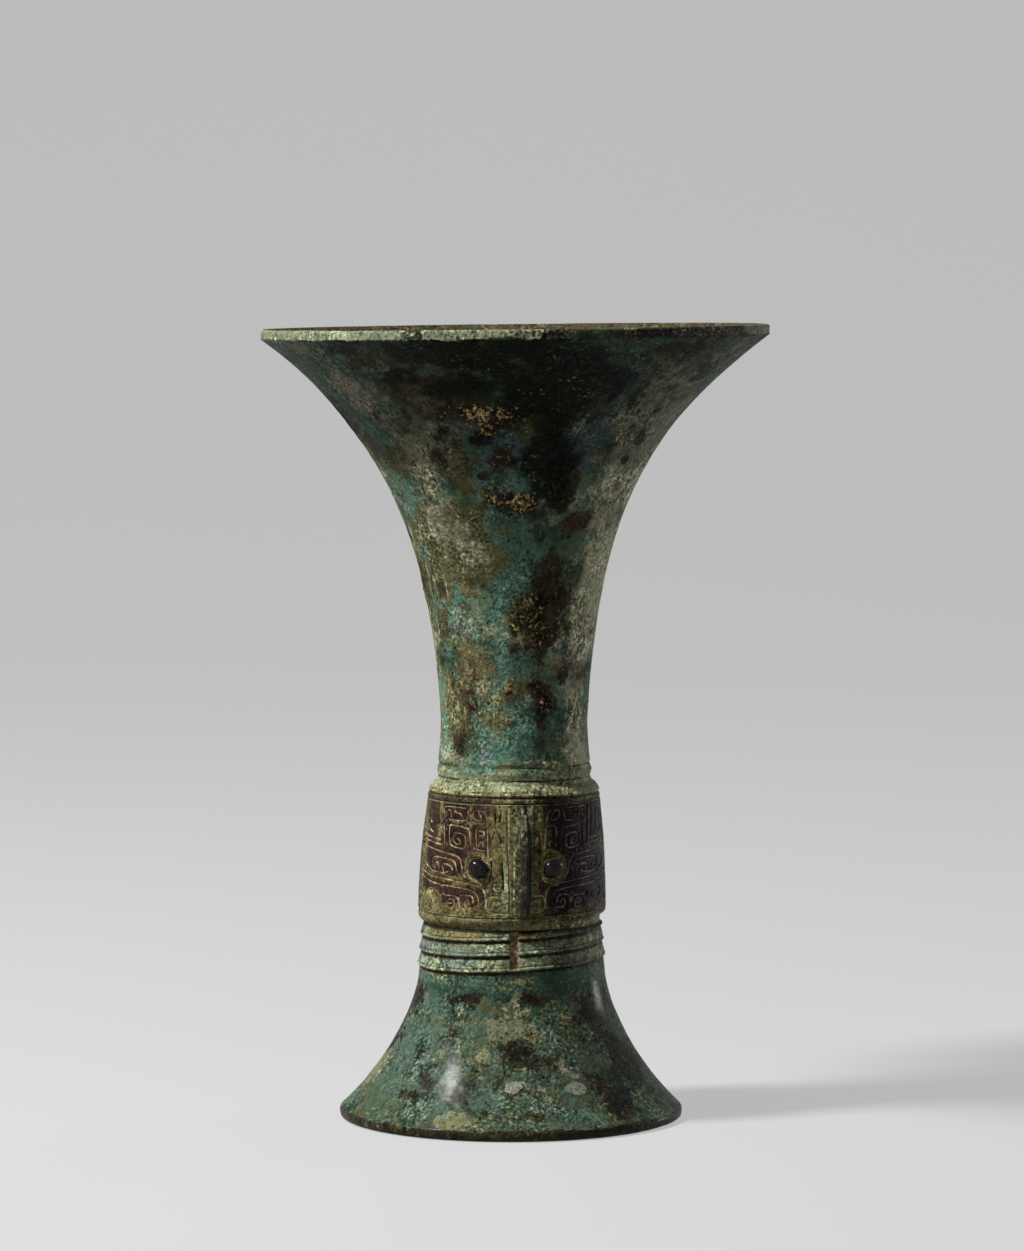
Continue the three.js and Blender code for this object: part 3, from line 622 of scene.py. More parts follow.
relief = {
    "columns": 330, "rows": 262, "lineWidth": 0.56, "softness": 0.1, "depth": 0.5, "gap": 0.3,
    "overlap": 0.22, "face": -0.12, "highest": 0.15, "backDepth": 0.9, "lineBase": 0.8, "lineScale": 0.98,
}
maskLines = {
    "browCell": [(27.1, 29.5), (28, 33.1), (27, 33.5), (18.2, 33.3)],
    "browCellFoot": [(25, 29.4), (17.8, 29.2), (17, 29.9), (16.9, 32.6)],
    "browHookOuter": [(26.3, 30.5), (26.5, 32.2), (25.3, 32.5), (24.1, 31.8), (23.9, 30.3)],
    "browHookInner": [(22.7, 32.2), (21.5, 31.6), (19.9, 31.5), (19.3, 30.8)],
    "templeLine": [(15, 31.4), (15, 32.8), (11.9, 32.7), (10.6, 32.1), (9.8, 27.9), (9.3, 20.6),
                   (9.1, 18.3)],
    "templeCurl": [(13.3, 32.4), (12.1, 30.9), (11.9, 29.4), (14.6, 29.9), (15.2, 31.4)],
    "hornSpiral": [(15.3, 19.7), (15.9, 26.2), (16.7, 27.1), (23.6, 27.9), (24.5, 27.3), (23.7, 21.6),
                   (22.5, 21), (17.1, 20.2), (17.4, 24.3), (18, 25), (21.5, 25.5), (22.3, 24.8),
                   (22.2, 22.6), (20.6, 21.6), (19.3, 21.9), (19.6, 23.3), (20.8, 23.6)],
    "hornCell": [(9.8, 27.6), (14, 28.1), (13.2, 21.5), (13, 20.3), (10.3, 20.2)],
    "hornHookOuter": [(12.5, 26.5), (10.7, 26.1), (10.7, 24.9), (12.4, 24.9)],
    "hornHookInner": [(10.9, 21.5), (11, 22.9), (12.3, 22.9), (12.4, 21.5)],
    "barOuter": [(30.7, 34), (28.9, 23.9)],
    "barInner": [(27.3, 28.5), (26.1, 21.7)],
    "tailHook": [(33.8, 31.6), (31.9, 24.2), (38.1, 25.7), (41.4, 31.2)],
    "tailCurl": [(37.5, 31), (36.3, 27.5), (34.5, 27.9)],
    "earUpper": [(45, 24), (34.2, 23), (28.3, 22.8)],
    "earLower": [(45, 22.3), (33.8, 21.5), (27.2, 21.1)],
    "scrollOuter": [(45, 20.8), (39.1, 20), (32.8, 19.4), (21.2, 18.4), (18.9, 17.3), (18.1, 14.8),
                    (17.6, 12.3), (16.6, 11.4)],
    "scrollFoot": [(41, 18.6), (39.9, 18.3), (37.5, 14.4), (33.8, 12.9), (31, 12.3), (25.9, 12.3),
                   (23.3, 12.9)],
    "scrollInner": [(31.4, 13.7), (32.2, 14.1), (32.4, 17.2), (24.3, 17), (21.1, 16.4), (19.9, 13.3)],
    "scrollCurlFar": [(30.4, 13.3), (30.5, 15.1), (28.9, 15.7), (27.9, 13.2)],
    "scrollCurlNear": [(25.7, 12.9), (27, 15.4), (22.7, 14.9), (21.8, 13.5)],
    "jaw": [(45, 12.4), (41.7, 12), (36, 11.3), (30.6, 10.7), (25.8, 10.6), (17.9, 9.9), (11.6, 8.9),
            (10.1, 7.5), (9.5, 5.6), (9.7, 1.9)],
    "jawEdge": [(45, 10.8), (35, 9.2), (29, 8.5), (17.9, 8.1), (13.2, 7.1), (12, 5.4), (11.8, 2.4),
                (14.8, 1.6), (16.5, 2.3), (16.6, 4), (15.4, 4.5), (15, 3.4)],
    "jawCurl": [(18.8, 3.2), (18.7, 5.4), (17.8, 5.8), (14.3, 5.9), (13.6, 4.8), (13.7, 3.5)],
    "roundCurl": [(25.9, 5.7), (24.2, 5.2), (20.3, 5.5), (19, 4.3), (18.3, 1.9)],
    "roundCurlInner": [(24.2, 2), (22.8, 1.3), (21.5, 1.3), (20.4, 2.5), (20.8, 4), (22.8, 4.4),
                       (23.4, 3.2), (22.4, 2.6), (21.5, 3)],
    "footHook": [(28.2, 4.3), (28.1, 5.7), (30.3, 6.8), (34.9, 6.8), (34.5, 5), (32.2, 4.2)],
    "footTail": [(38.4, 7.2), (38.2, 3.2), (41.8, 2.6)],
    "nostril": [(4.8, 5.5), (8.4, 5.8), (9.2, 5.1), (9.4, 1.8), (8.2, 0.4), (1.8, 0.2)],
    "nostrilInner": [(7.5, 1.9), (7.5, 4), (4.9, 4), (4.8, 2), (6.2, 1.7)],
    "noseHook": [(4.9, 9.9), (6.9, 9.9), (7.1, 8.1), (5.4, 7.3), (4.8, 8.4), (6.1, 8.7)],
    "noseLine": [(1.6, 0.6), (1.9, 8.9), (2.3, 16.1), (2.8, 21.7), (3.2, 32.4)],
    "noseSide": [(3.7, 7.7), (4.3, 17.6), (5, 24.7), (6.7, 26.2), (7.1, 32.9)],
    "forehead": [(7.4, 19.1), (7.8, 24.2), (7, 26)],
    "foreheadUpper": [(5.2, 32.4), (5.4, 28.6), (6.3, 27.6)],
    "cheek": [(7.7, 16.5), (7.8, 12.4), (6.9, 11.2)],
    "eyeRing": [(15.4, 17.1), (16.3, 14.1), (15.3, 11.6), (12.5, 10.9), (9.5, 9.8), (8.7, 11.4),
                (8.1, 14), (9.1, 16.8), (12.4, 17.7), (15.4, 17.1)],
}
darkLines = ["noseSide", "forehead", "foreheadUpper", "cheek"]  # these hold no pale filling


def lineDistance(us, vs, paths):
    # least distance from each (u, v) of a grid to the lines: |p - a - clip((p - a).d / d.d) d| near each
    # segment, and the reach farther away
    reach = 1.6
    best = np.full((len(vs), len(us)), reach)
    for path in paths:
        points = roundedPath(path)
        for (ua, va), (ub, vb) in zip(points[:-1], points[1:]):
            rows = slice(*np.searchsorted(vs, [min(va, vb) - reach, max(va, vb) + reach]))
            columns = slice(*np.searchsorted(us, [min(ua, ub) - reach, max(ua, ub) + reach]))
            u, v = np.meshgrid(us[columns], vs[rows])
            du, dv = ub - ua, vb - va
            t = np.clip(((u - ua) * du + (v - va) * dv) / max(du * du + dv * dv, 1e-9), 0, 1)
            near = np.hypot(u - ua - t * du, v - va - t * dv)
            best[rows, columns] = np.minimum(best[rows, columns], near)
    return best


def stitch(dense, sparse):
    # triangles between a run of many vertices and a run of few: each dense step meets its nearest sparse
    # vertex, and one more triangle joins two sparse vertices where the nearest one changes
    steps = np.arange(len(dense) - 1)
    owner = np.floor(steps * (len(sparse) - 1) / (len(dense) - 1) + 0.5).astype(int)
    fans = np.column_stack([dense[:-1], dense[1:], sparse[owner]])
    change = np.flatnonzero(np.diff(owner)) + 1
    joins = np.column_stack([dense[change], sparse[owner[change]], sparse[owner[change] - 1]])
    return np.vstack([fans, joins])


def wrapBand(u, v, radius, noseTurn, side):
    # (u, v, r) to the band: turn a = nose + side u / mean radius, then (r sin a, -r cos a, bottom + v)
    a = noseTurn + side * u / body["meanRadius"]
    return np.stack([radius * np.sin(a), -radius * np.cos(a), body["fieldBottom"] + v], -1)


def makeMaskPanel(name, noseTurn, side, material):
    # face radius less the depth of the lines, on a fine grid, with a coarse back and walls stitched between
    border = relief["gap"] - relief["overlap"]
    start = side * flange["shift"] + flange["half"] + border
    end = body["meanRadius"] * math.pi / 2 - flange["half"] - border
    us = np.linspace(start, end, relief["columns"])
    vs = np.linspace(border, fieldHeight - border, relief["rows"])
    u, v = np.meshgrid(us, vs)
    flatPlace = np.stack([u, v, 0 * u + 20 * side + 7 * noseTurn], -1)
    half = relief["lineWidth"] / 2 * (0.9 + 0.25 * valueNoise(flatPlace, 3.5, 47))
    soft = relief["softness"]
    wobble = 0.1 * fractalNoise(flatPlace, 2.4, 41, 3)
    drawn = (vs - relief["lineBase"]) / relief["lineScale"]
    pale = lineDistance(us, drawn, [maskLines[key] for key in maskLines if key not in darkLines]) + wobble
    dark = lineDistance(us, drawn, [maskLines[key] for key in darkLines]) + wobble
    distance = np.minimum(pale, dark)
    paleLine = smoothStep(half + soft, half - soft, pale)
    broken = smoothStep(-0.35, 0.1, valueNoise(flatPlace * np.array([0.5, 1, 1]), 3.2, 46))
    line = np.maximum(paleLine, broken * smoothStep(half + soft, half - soft, dark))
    filled = 0.8 + 0.3 * valueNoise(flatPlace, 5, 42)
    # olive film: on the nose, the base, the far end and round the eye, with more of it on the left half
    drift = 1.1 * fractalNoise(flatPlace, 6, 45, 4)
    nose = smoothStep(10.5, 7.5, u + drift)
    base = smoothStep(6, 2, v + drift)
    far = smoothStep(35, 40, u + 2 * drift)
    toEye = np.hypot(u - eye["u"], v - (eye["z"] - body["fieldBottom"]))
    besideEye = smoothStep(6.4, 4.6, toEye + 0.5 * drift)
    if side > 0:
        olive = np.maximum.reduce([0.9 * nose, 0.4 * base, 0.5 * far, 0.9 * besideEye])
    else:
        bar = hill(u + 0.4 * drift, 28.8, 2.0) * smoothStep(20, 23, v)
        cells = hill(u + 0.3 * drift, 15.6, 0.9) * smoothStep(17, 20, v) + hill(v, 28.8, 0.7) * (u > 9)
        jaw = hill(v + 0.4 * drift - 8.9 - 0.1 * u, 0, 1.7) * smoothStep(9, 12, u)
        corner = smoothStep(23, 29, u + drift) * smoothStep(8.5, 5.5, v + drift)
        olive = np.maximum.reduce([nose, 0.9 * base, 0.8 * far, besideEye, 0.9 * bar, 0.6 * cells,
                                   0.75 * jaw, corner])
    crown = 0.05 * smoothStep(0.3, 1.1, distance)
    rim = hill(toEye + 0.2 * drift, 3.9, 0.6) * smoothStep(-0.5, 0.1, valueNoise(flatPlace, 2.6, 48))
    film = 0.1 * smoothStep(0.2, 0.8, valueNoise(flatPlace, 3.1, 44)) * olive
    skin = 0.025 * fractalNoise(flatPlace, 1.3, 43, 3) + film
    height = relief["face"] + crown + skin + 0.2 * rim - relief["depth"] * line * filled
    radius = faceRadius(body["fieldBottom"] + v) + np.minimum(height, relief["highest"])
    front = wrapBand(u, v, radius, noseTurn, side)
    backU, backV = np.meshgrid(np.linspace(us[0], us[-1], 22), np.linspace(vs[0], vs[-1], 9))
    backRadius = faceRadius(body["fieldBottom"] + backV) - relief["backDepth"]
    back = wrapBand(backU, backV, backRadius, noseTurn, side)
    fine = np.arange(u.size).reshape(u.shape)
    coarse = u.size + np.arange(backU.size).reshape(backU.shape)
    walls = np.vstack([stitch(fine[0, ::-1], coarse[0, ::-1]), stitch(fine[::-1, -1], coarse[::-1, -1]),
                       stitch(fine[-1], coarse[-1]), stitch(fine[:, 0], coarse[:, 0])])
    quads = np.vstack([gridFaces(*u.shape)[:, ::-1], gridFaces(*backU.shape, start=u.size)])
    faceLists = [faces if side > 0 else faces[:, ::-1] for faces in (quads, walls)]
    vertices = leaned(np.vstack([front.reshape(-1, 3), back.reshape(-1, 3)])) * mm
    blank = np.zeros(backU.size)
    # dark purple away from the nose: full on the right half, where it is also painted shade, and a third of
    # it on the left
    purpleAndShade = smoothStep(9, 14, u) * (1 if side > 0 else 0.3)
    farLine = paleLine * smoothStep(10, 14, u) * (side > 0)
    nearLine = paleLine * smoothStep(12, 9.5, u)
    noseStrip = smoothStep(4.6, 3.9, u + 0.3 * drift) * smoothStep(2, 2.4, u) * (side < 0)
    # painted highlight: a whitish line beside the keel on the left half
    edgeHighlight = hill(u + 0.1 * drift, 2.3, 0.4) * (side < 0)
    fields = {"line": paleLine - farLine, "farLine": farLine, "nearLine": nearLine, "olive": olive,
              "purpleAndShade": purpleAndShade, "shadow": line * (1 - paleLine), "noseStrip": noseStrip, "rim": rim,
              "edgeHighlight": edgeHighlight}
    fields = {key: np.r_[values.ravel(), blank] for key, values in fields.items()}
    piece = meshFromFaces(f"{name}_skin", vertices, faceLists, fields)
    return finishPiece(piece, material, "brown_patina", name)


eye = {"length": 7.1, "width": 5.9, "rise": 2.6, "fullness": 2.1, "slit": 0.22, "tilt": math.radians(35),
       "u": 11.9, "z": 81.7}


def makeEye(name, noseTurn, side, material):
    # an oval boss: rings q (a cos, b sin), lift rise (1 - q^fullness)^0.5, less a shallow slit, and a sunk
    # skirt
    q = np.r_[np.sin(np.linspace(0.05, math.pi / 2, 28)), 1.0, 0.95][:, None]
    dome = eye["rise"] * np.sqrt(np.clip(1 - q ** eye["fullness"], 0, 1))
    dome[-2:] = [[-0.25], [-0.7]]
    a = np.linspace(0, tau, 96, endpoint=False)
    long, short = q * eye["length"] / 2 * np.cos(a), q * eye["width"] / 2 * np.sin(a)
    slit = hill(short + 0.5, 0, 0.28) * smoothStep(2.3, 1.2, np.abs(long)) * (dome > 0.5)
    lumps = 0.05 * fractalNoise(np.stack([long, short, 0 * long + side], -1), 1.9, 51, 3) * (dome > 0)
    lift = dome + lumps - eye["slit"] * slit
    u = long * math.cos(eye["tilt"]) - short * math.sin(eye["tilt"])
    up = long * math.sin(eye["tilt"]) + short * math.cos(eye["tilt"])
    turn = noseTurn + side * eye["u"] / body["meanRadius"]
    stand = float(faceRadius(eye["z"])) - 0.2 + lift
    across = side * u
    x = stand * math.sin(turn) + across * math.cos(turn)
    y = -stand * math.cos(turn) + across * math.sin(turn)
    points = np.stack([x, y, eye["z"] + up], -1)
    fields = {"slit": slit + 0 * x, "skirt": smoothStep(1.1, 0.1, dome) + 0 * x}
    if side < 0:
        points = points[:, ::-1]
        fields = {key: values[:, ::-1] for key, values in fields.items()}
    return finishPiece(cappedPiece(f"{name}_skin", points, fields), material, "brown_patina", name)


# Flanges: a flush strip with a spindle-shaped keel, pointed at the top

flange = {"half": 2.9, "crest": 0.85, "rise": 2.3, "sideRise": 0.35, "shift": 2.3}


def makeFlange(name, turn, rise, material):
    # across s from -1 to 1: flat outside the keel, and inside it a roof of height rise (1 - |x|^1.25) up to
    # a flat crest. The loop of each height goes across the front and back behind it
    v = np.linspace(0.1, fieldHeight - 0.1, 170)[:, None]
    down = 1 - v / fieldHeight
    swell = smoothStep(-0.02, 0.36, down)
    taper = 1 - 0.38 * smoothStep(0.8, 1.0, down)
    keel = flange["crest"] + (flange["half"] - 0.15 - flange["crest"]) * swell * taper
    s = np.linspace(-1, 1, 61)
    across = s * (flange["half"] + 0.12)
    x = np.clip((np.abs(across) - flange["crest"]) / np.maximum(keel - flange["crest"], 0.05), 0, 1)
    roof = (1 - x ** 1.25) * smoothStep(0.02, 0.16, down)
    place = np.stack([across + 0 * v, 0 * across + v, 0 * across + 0 * v + 9 * turn], -1)
    chips = 0.16 * smoothStep(0.3, 0.9, fractalNoise(place, 2.6, 61, 3)) * smoothStep(0.1, 0.6, x)
    skin = 0.03 * fractalNoise(place, 1.2, 62, 3)
    lift = rise * swell * taper * roof - 0.1 + skin - chips * (rise > 1)
    z = body["fieldBottom"] + v + 0 * across
    radius = faceRadius(z) + lift
    behind = np.repeat(faceRadius(z[:, :1]) - relief["backDepth"], len(s), 1)
    loopRadius = np.concatenate([radius, behind], 1)
    loopAcross = np.concatenate([across, 0.8 * across[::-1]])[None] + 0 * loopRadius
    loopZ = np.concatenate([z, z], 1)
    ca, sa = math.cos(turn), math.sin(turn)
    points = np.stack([loopRadius * sa + loopAcross * ca, -loopRadius * ca + loopAcross * sa, loopZ], -1)
    sloping = smoothStep(0.0, 0.1, x) * smoothStep(1.0, 0.9, x)
    ragged = 0.15 * fractalNoise(place, 2.2, 63, 3)
    fields = {"crest": smoothStep(0.75, 0.95, roof * swell + ragged), "flank": sloping * (across < 0),
              # painted shade: the keel's right flank, near black
              "right": smoothStep(0.0, 0.1, x + ragged) * smoothStep(1.0, 0.93, x) * (across > 0),
              # painted highlight: a whitish line along the strip's left edge
              "edge": smoothStep(-2.3, -2.7, across + ragged) * swell}
    fields = {key: np.concatenate([f, 0 * roof], 1)[:, ::-1] for key, f in fields.items()}
    piece = cappedPiece(f"{name}_skin", points[:, ::-1], fields)
    return finishPiece(piece, material, "brown_patina", name)


# Material nodes

def addNode(tree, kind, inputs=None, **settings):
    node = tree.nodes.new(kind)
    for key, value in settings.items():
        setattr(node, key, value)
    for key, value in (inputs or {}).items():
        if isinstance(value, bpy.types.NodeSocket):
            tree.links.new(value, node.inputs[key])
        else:
            node.inputs[key].default_value = value
    return node


def color(r, g, b):
    # sRGB 0-255 to linear: ((c + 0.055) / 1.055)^2.4, with c the share of 255
    return tuple(((c / 255 + 0.055) / 1.055) ** 2.4 for c in (r, g, b)) + (1,)


def newGroup(name, inputs, outputs):
    group = bpy.data.node_groups.new(name, "ShaderNodeTree")
    for label, kind, value in inputs:
        socket = group.interface.new_socket(label, in_out="INPUT", socket_type=kind)
        if value is not None:
            socket.default_value = value
    for label, kind in outputs:
        group.interface.new_socket(label, in_out="OUTPUT", socket_type=kind)
    return group, group.nodes.new("NodeGroupInput"), group.nodes.new("NodeGroupOutput")


def mixColor(tree, factor, a, b, mode="MIX"):
    node = tree.nodes.new("ShaderNodeMix")
    node.data_type = "RGBA"
    node.blend_type = mode
    for index, value in ((0, factor), (6, a), (7, b)):
        if isinstance(value, bpy.types.NodeSocket):
            tree.links.new(value, node.inputs[index])
        else:
            node.inputs[index].default_value = value
    return node.outputs[2]


def maths(tree, operation, a, b=0.0):
    return addNode(tree, "ShaderNodeMath", {0: a, 1: b}, operation=operation).outputs[0]


def times(tree, a, b):
    return maths(tree, "MULTIPLY", a, b)


def addUp(tree, values):
    total = values[0]
    for value in values[1:]:
        total = maths(tree, "ADD", total, value)
    return total


def noiseAt(tree, place, scale, detail, roughness, distortion=0.0):
    inputs = {"Vector": place, "Scale": scale, "Detail": detail, "Roughness": roughness,
              "Distortion": distortion}
    return addNode(tree, "ShaderNodeTexNoise", inputs).outputs


def spread(tree, value, low, high, kind="LINEAR", toLow=0.0, toHigh=1.0):
    # low..high becomes toLow..toHigh, and what lies outside is held at the ends
    inputs = {"Value": value, "From Min": low, "From Max": high, "To Min": toLow, "To Max": toHigh}
    return addNode(tree, "ShaderNodeMapRange", inputs, interpolation_type=kind).outputs[0]


def attribute(tree, name, output="Fac"):
    return addNode(tree, "ShaderNodeAttribute", attribute_name=name).outputs[output]


def buildPatches():
    # a ragged mask: weight (rough noise - 0.5) + grain + zone, cut at a level with a soft edge
    numbers = {"Scale": 60.0, "Weight": 1.0, "Grain": 0.0, "Zone": 0.0, "Level": 0.1, "Softness": 0.04}
    inputs = [("Vector", "NodeSocketVector", None)]
    inputs += [(label, "NodeSocketFloat", value) for label, value in numbers.items()]
    inputs += [("Stretch", "NodeSocketVector", (1.0, 1.0, 1.0))]
    group, given, result = newGroup("patches", inputs, [("Mask", "NodeSocketFloat")])
    given = given.outputs
    moved = addNode(group, "ShaderNodeVectorMath", {0: given["Vector"], 1: given["Stretch"]},
                    operation="MULTIPLY").outputs[0]
    large = noiseAt(group, moved, given["Scale"], 7.0, 0.72, 0.3)["Fac"]
    weighed = times(group, maths(group, "SUBTRACT", large, 0.5), given["Weight"])
    total = addUp(group, [weighed, given["Grain"], given["Zone"]])
    low = maths(group, "SUBTRACT", given["Level"], given["Softness"])
    high = maths(group, "ADD", given["Level"], given["Softness"])
    group.links.new(spread(group, total, low, high, "SMOOTHSTEP"), result.inputs["Mask"])
    return group


grainSizes = {"fine": 980.0, "medium": 380.0, "calm": 75.0, "cells": 640.0, "gate": 120.0}  # per metre


def buildGrain():
    # crystalline grain: three fine noises round 0, a tone e^(contrast x noise), a height, dark pits where a
    # gate noise is high and pale specks where it is low
    labels = ("Tone", "Height", "Pits", "Specks", "Fine A", "Fine B", "Fine C")
    group, given, result = newGroup(
        "grain", [("Vector", "NodeSocketVector", None), ("Contrast", "NodeSocketFloat", 0.5)],
        [(label, "NodeSocketFloat") for label in labels])
    place = given.outputs["Vector"]
    fine = noiseAt(group, place, grainSizes["fine"], 1.0, 0.6)["Color"]
    parts = addNode(group, "ShaderNodeSeparateColor", {0: fine}).outputs
    centred = [maths(group, "SUBTRACT", part, 0.5) for part in parts]
    medium = noiseAt(group, place, grainSizes["medium"], 3.0, 0.8)["Fac"]
    middle = maths(group, "SUBTRACT", medium, 0.52)
    calm = noiseAt(group, place, grainSizes["calm"], 3.0, 0.6)["Fac"]
    calm = spread(group, calm, 0.38, 0.62, toLow=0.3, toHigh=1.45)
    swing = maths(group, "ADD", times(group, centred[0], 5.0), times(group, middle, 4.8))
    swing = times(group, swing, calm)
    tone = maths(group, "POWER", math.e, times(group, swing, given.outputs["Contrast"]))
    cells = addNode(group, "ShaderNodeTexVoronoi", {"Vector": place, "Scale": grainSizes["cells"]})
    gate = noiseAt(group, place, grainSizes["gate"], 4.0, 0.7)["Fac"]
    near = spread(group, cells.outputs["Distance"], 0.42, 0.2, "SMOOTHSTEP")
    pits = times(group, near, spread(group, gate, 0.5, 0.58, "SMOOTHSTEP"))
    specks = times(group, near, spread(group, gate, 0.47, 0.38, "SMOOTHSTEP"))
    height = addUp(group, [medium, times(group, centred[1], 0.6), times(group, specks, 0.3),
                           times(group, pits, -0.5)])
    for label, value in zip(labels, [maths(group, "MINIMUM", tone, 3.2), height, pits, specks] + centred):
        group.links.new(value, result.inputs[label])
    return group


shared = {"patches": buildPatches(), "grain": buildGrain()}


def useGroup(tree, name, inputs):
    return addNode(tree, "ShaderNodeGroup", inputs, node_tree=shared[name])


def washColor(tree, place, wash):
    # a soft ground colour: rough noise read through a ramp of evenly spaced colours
    noise = noiseAt(tree, place, wash["scale"], 9.0, 0.72, 0.5)["Fac"]
    ramp = addNode(tree, "ShaderNodeValToRGB", {0: noise})
    stops = np.linspace(0.34, 0.66, len(wash["colors"]))
    elements = ramp.color_ramp.elements
    while len(elements) < len(stops):
        elements.new(0.5)
    for element, stop, value in zip(elements, stops, wash["colors"]):
        element.position = stop
        element.color = value
    return ramp.outputs["Color"]


plainLook = {"contrast": 0.32, "rough": 0.45, "metallic": 0.1, "specular": 0.18, "coat": 0.0,
             "coatRough": 0.3, "grainHeight": 0.5, "pits": 0.7, "specks": 0.4, "gain": (1.0, 1.0, 1.0)}


def patinaMaterial(name, look):
    # a wash, then layers in order. A layer mixes two colours, may follow a zone attribute or run in streaks
    # along the wall, and may lift the surface or change its roughness
    look = {**plainLook, **look}
    material = bpy.data.materials.new(name)
    material.use_nodes = True
    tree = material.node_tree
    shader = tree.nodes["Principled BSDF"]
    place = addNode(tree, "ShaderNodeTexCoord").outputs["Object"]
    flow = attribute(tree, "flow", "Vector")
    grain = useGroup(tree, "grain", {"Vector": place, "Contrast": look["contrast"]}).outputs
    fine = [grain["Fine A"], grain["Fine B"], grain["Fine C"]]
    half = spread(tree, noiseAt(tree, place, 190.0, 7.0, 0.8)["Fac"], 0.4, 0.6)
    current = washColor(tree, place, look["wash"])
    heights = [times(tree, grain["Height"], look["grainHeight"])]
    roughness = [addNode(tree, "ShaderNodeMath", {0: grain["Tone"], 1: -0.12, 2: look["rough"] + 0.12},
                         operation="MULTIPLY_ADD").outputs[0]]
    for count, layer in enumerate(look["layers"]):
        inputs = {"Vector": flow if "streak" in layer else place, "Scale": layer["scale"],
                  "Weight": layer.get("weight", 1.0), "Level": layer["level"],
                  "Softness": layer.get("soft", 0.025),
                  "Grain": times(tree, fine[count % 3], layer.get("fine", 0.4)),
                  "Stretch": layer.get("streak") or layer.get("stretch", (1.0, 1.0, 1.0))}
        if "zone" in layer:
            inputs["Zone"] = times(tree, attribute(tree, layer["zone"]), layer.get("gain", 0.2))
        mask = useGroup(tree, "patches", inputs).outputs[0]
        tint = mixColor(tree, half, *layer["colors"])
        share = times(tree, mask, layer.get("strength", 1.0))
        current = mixColor(tree, share, current, tint, layer.get("mode", "MIX"))
        if "lift" in layer:
            heights.append(times(tree, mask, layer["lift"]))
        if "rough" in layer:
            roughness.append(times(tree, mask, layer["rough"]))
    current = mixColor(tree, times(tree, grain["Pits"], look["pits"]), current, black)
    current = mixColor(tree, times(tree, grain["Specks"], look["specks"]), current, paleGrey)
    current = mixColor(tree, 1.0, current, grain["Tone"], "MULTIPLY")
    current = mixColor(tree, 1.0, current, look["gain"] + (1.0,), "MULTIPLY")
    tree.links.new(current, shader.inputs["Base Color"])
    tree.links.new(addUp(tree, roughness), shader.inputs["Roughness"])
    for socket, key in (("Metallic", "metallic"), ("Specular IOR Level", "specular"),
                        ("Coat Weight", "coat"), ("Coat Roughness", "coatRough")):
        shader.inputs[socket].default_value = look[key]
    relieved = {"Height": addUp(tree, heights), "Strength": 0.9, "Distance": 0.0008}
    tree.links.new(addNode(tree, "ShaderNodeBump", relieved).outputs[0], shader.inputs["Normal"])
    return material


teal = color(66, 96, 80)
deepTeal = color(40, 58, 48)
darkOlive = color(38, 38, 26)
olive = color(96, 90, 60)
oliveBrown = color(66, 58, 38)
greyOlive = color(100, 104, 80)
ochre = color(132, 114, 68)
gold = color(160, 132, 86)
tan = color(150, 144, 100)
paleGreen = color(146, 154, 120)
paleGrey = color(154, 152, 134)
greyFilm = color(112, 110, 98)
lilac = color(88, 84, 84)
umber = color(42, 34, 24)
brown = color(62, 48, 34)
black = color(20, 20, 15)
cuprite = color(70, 36, 27)
rust = color(92, 58, 40)
reliefBrown = color(54, 42, 38)
reliefPurple = color(44, 34, 36)
lineOchre = color(150, 124, 94)
linePale = color(160, 156, 124)
lipCream = color(112, 114, 92)
lipGrey = color(98, 100, 80)
# the factor by which the upper flare is darkened as painted shade
flareShade = (0.46, 0.46, 0.46, 1)


def deposit(first, second, scale, level, **more):
    # one layer of patina: two colours mixed in patches of this scale, and a lower level covers more. It may
    # have a zone with its gain, a soft edge, fine grain, strength, weight, mode, streak, stretch, lift, rough
    return {"colors": (first, second), "scale": scale, "level": level, **more}


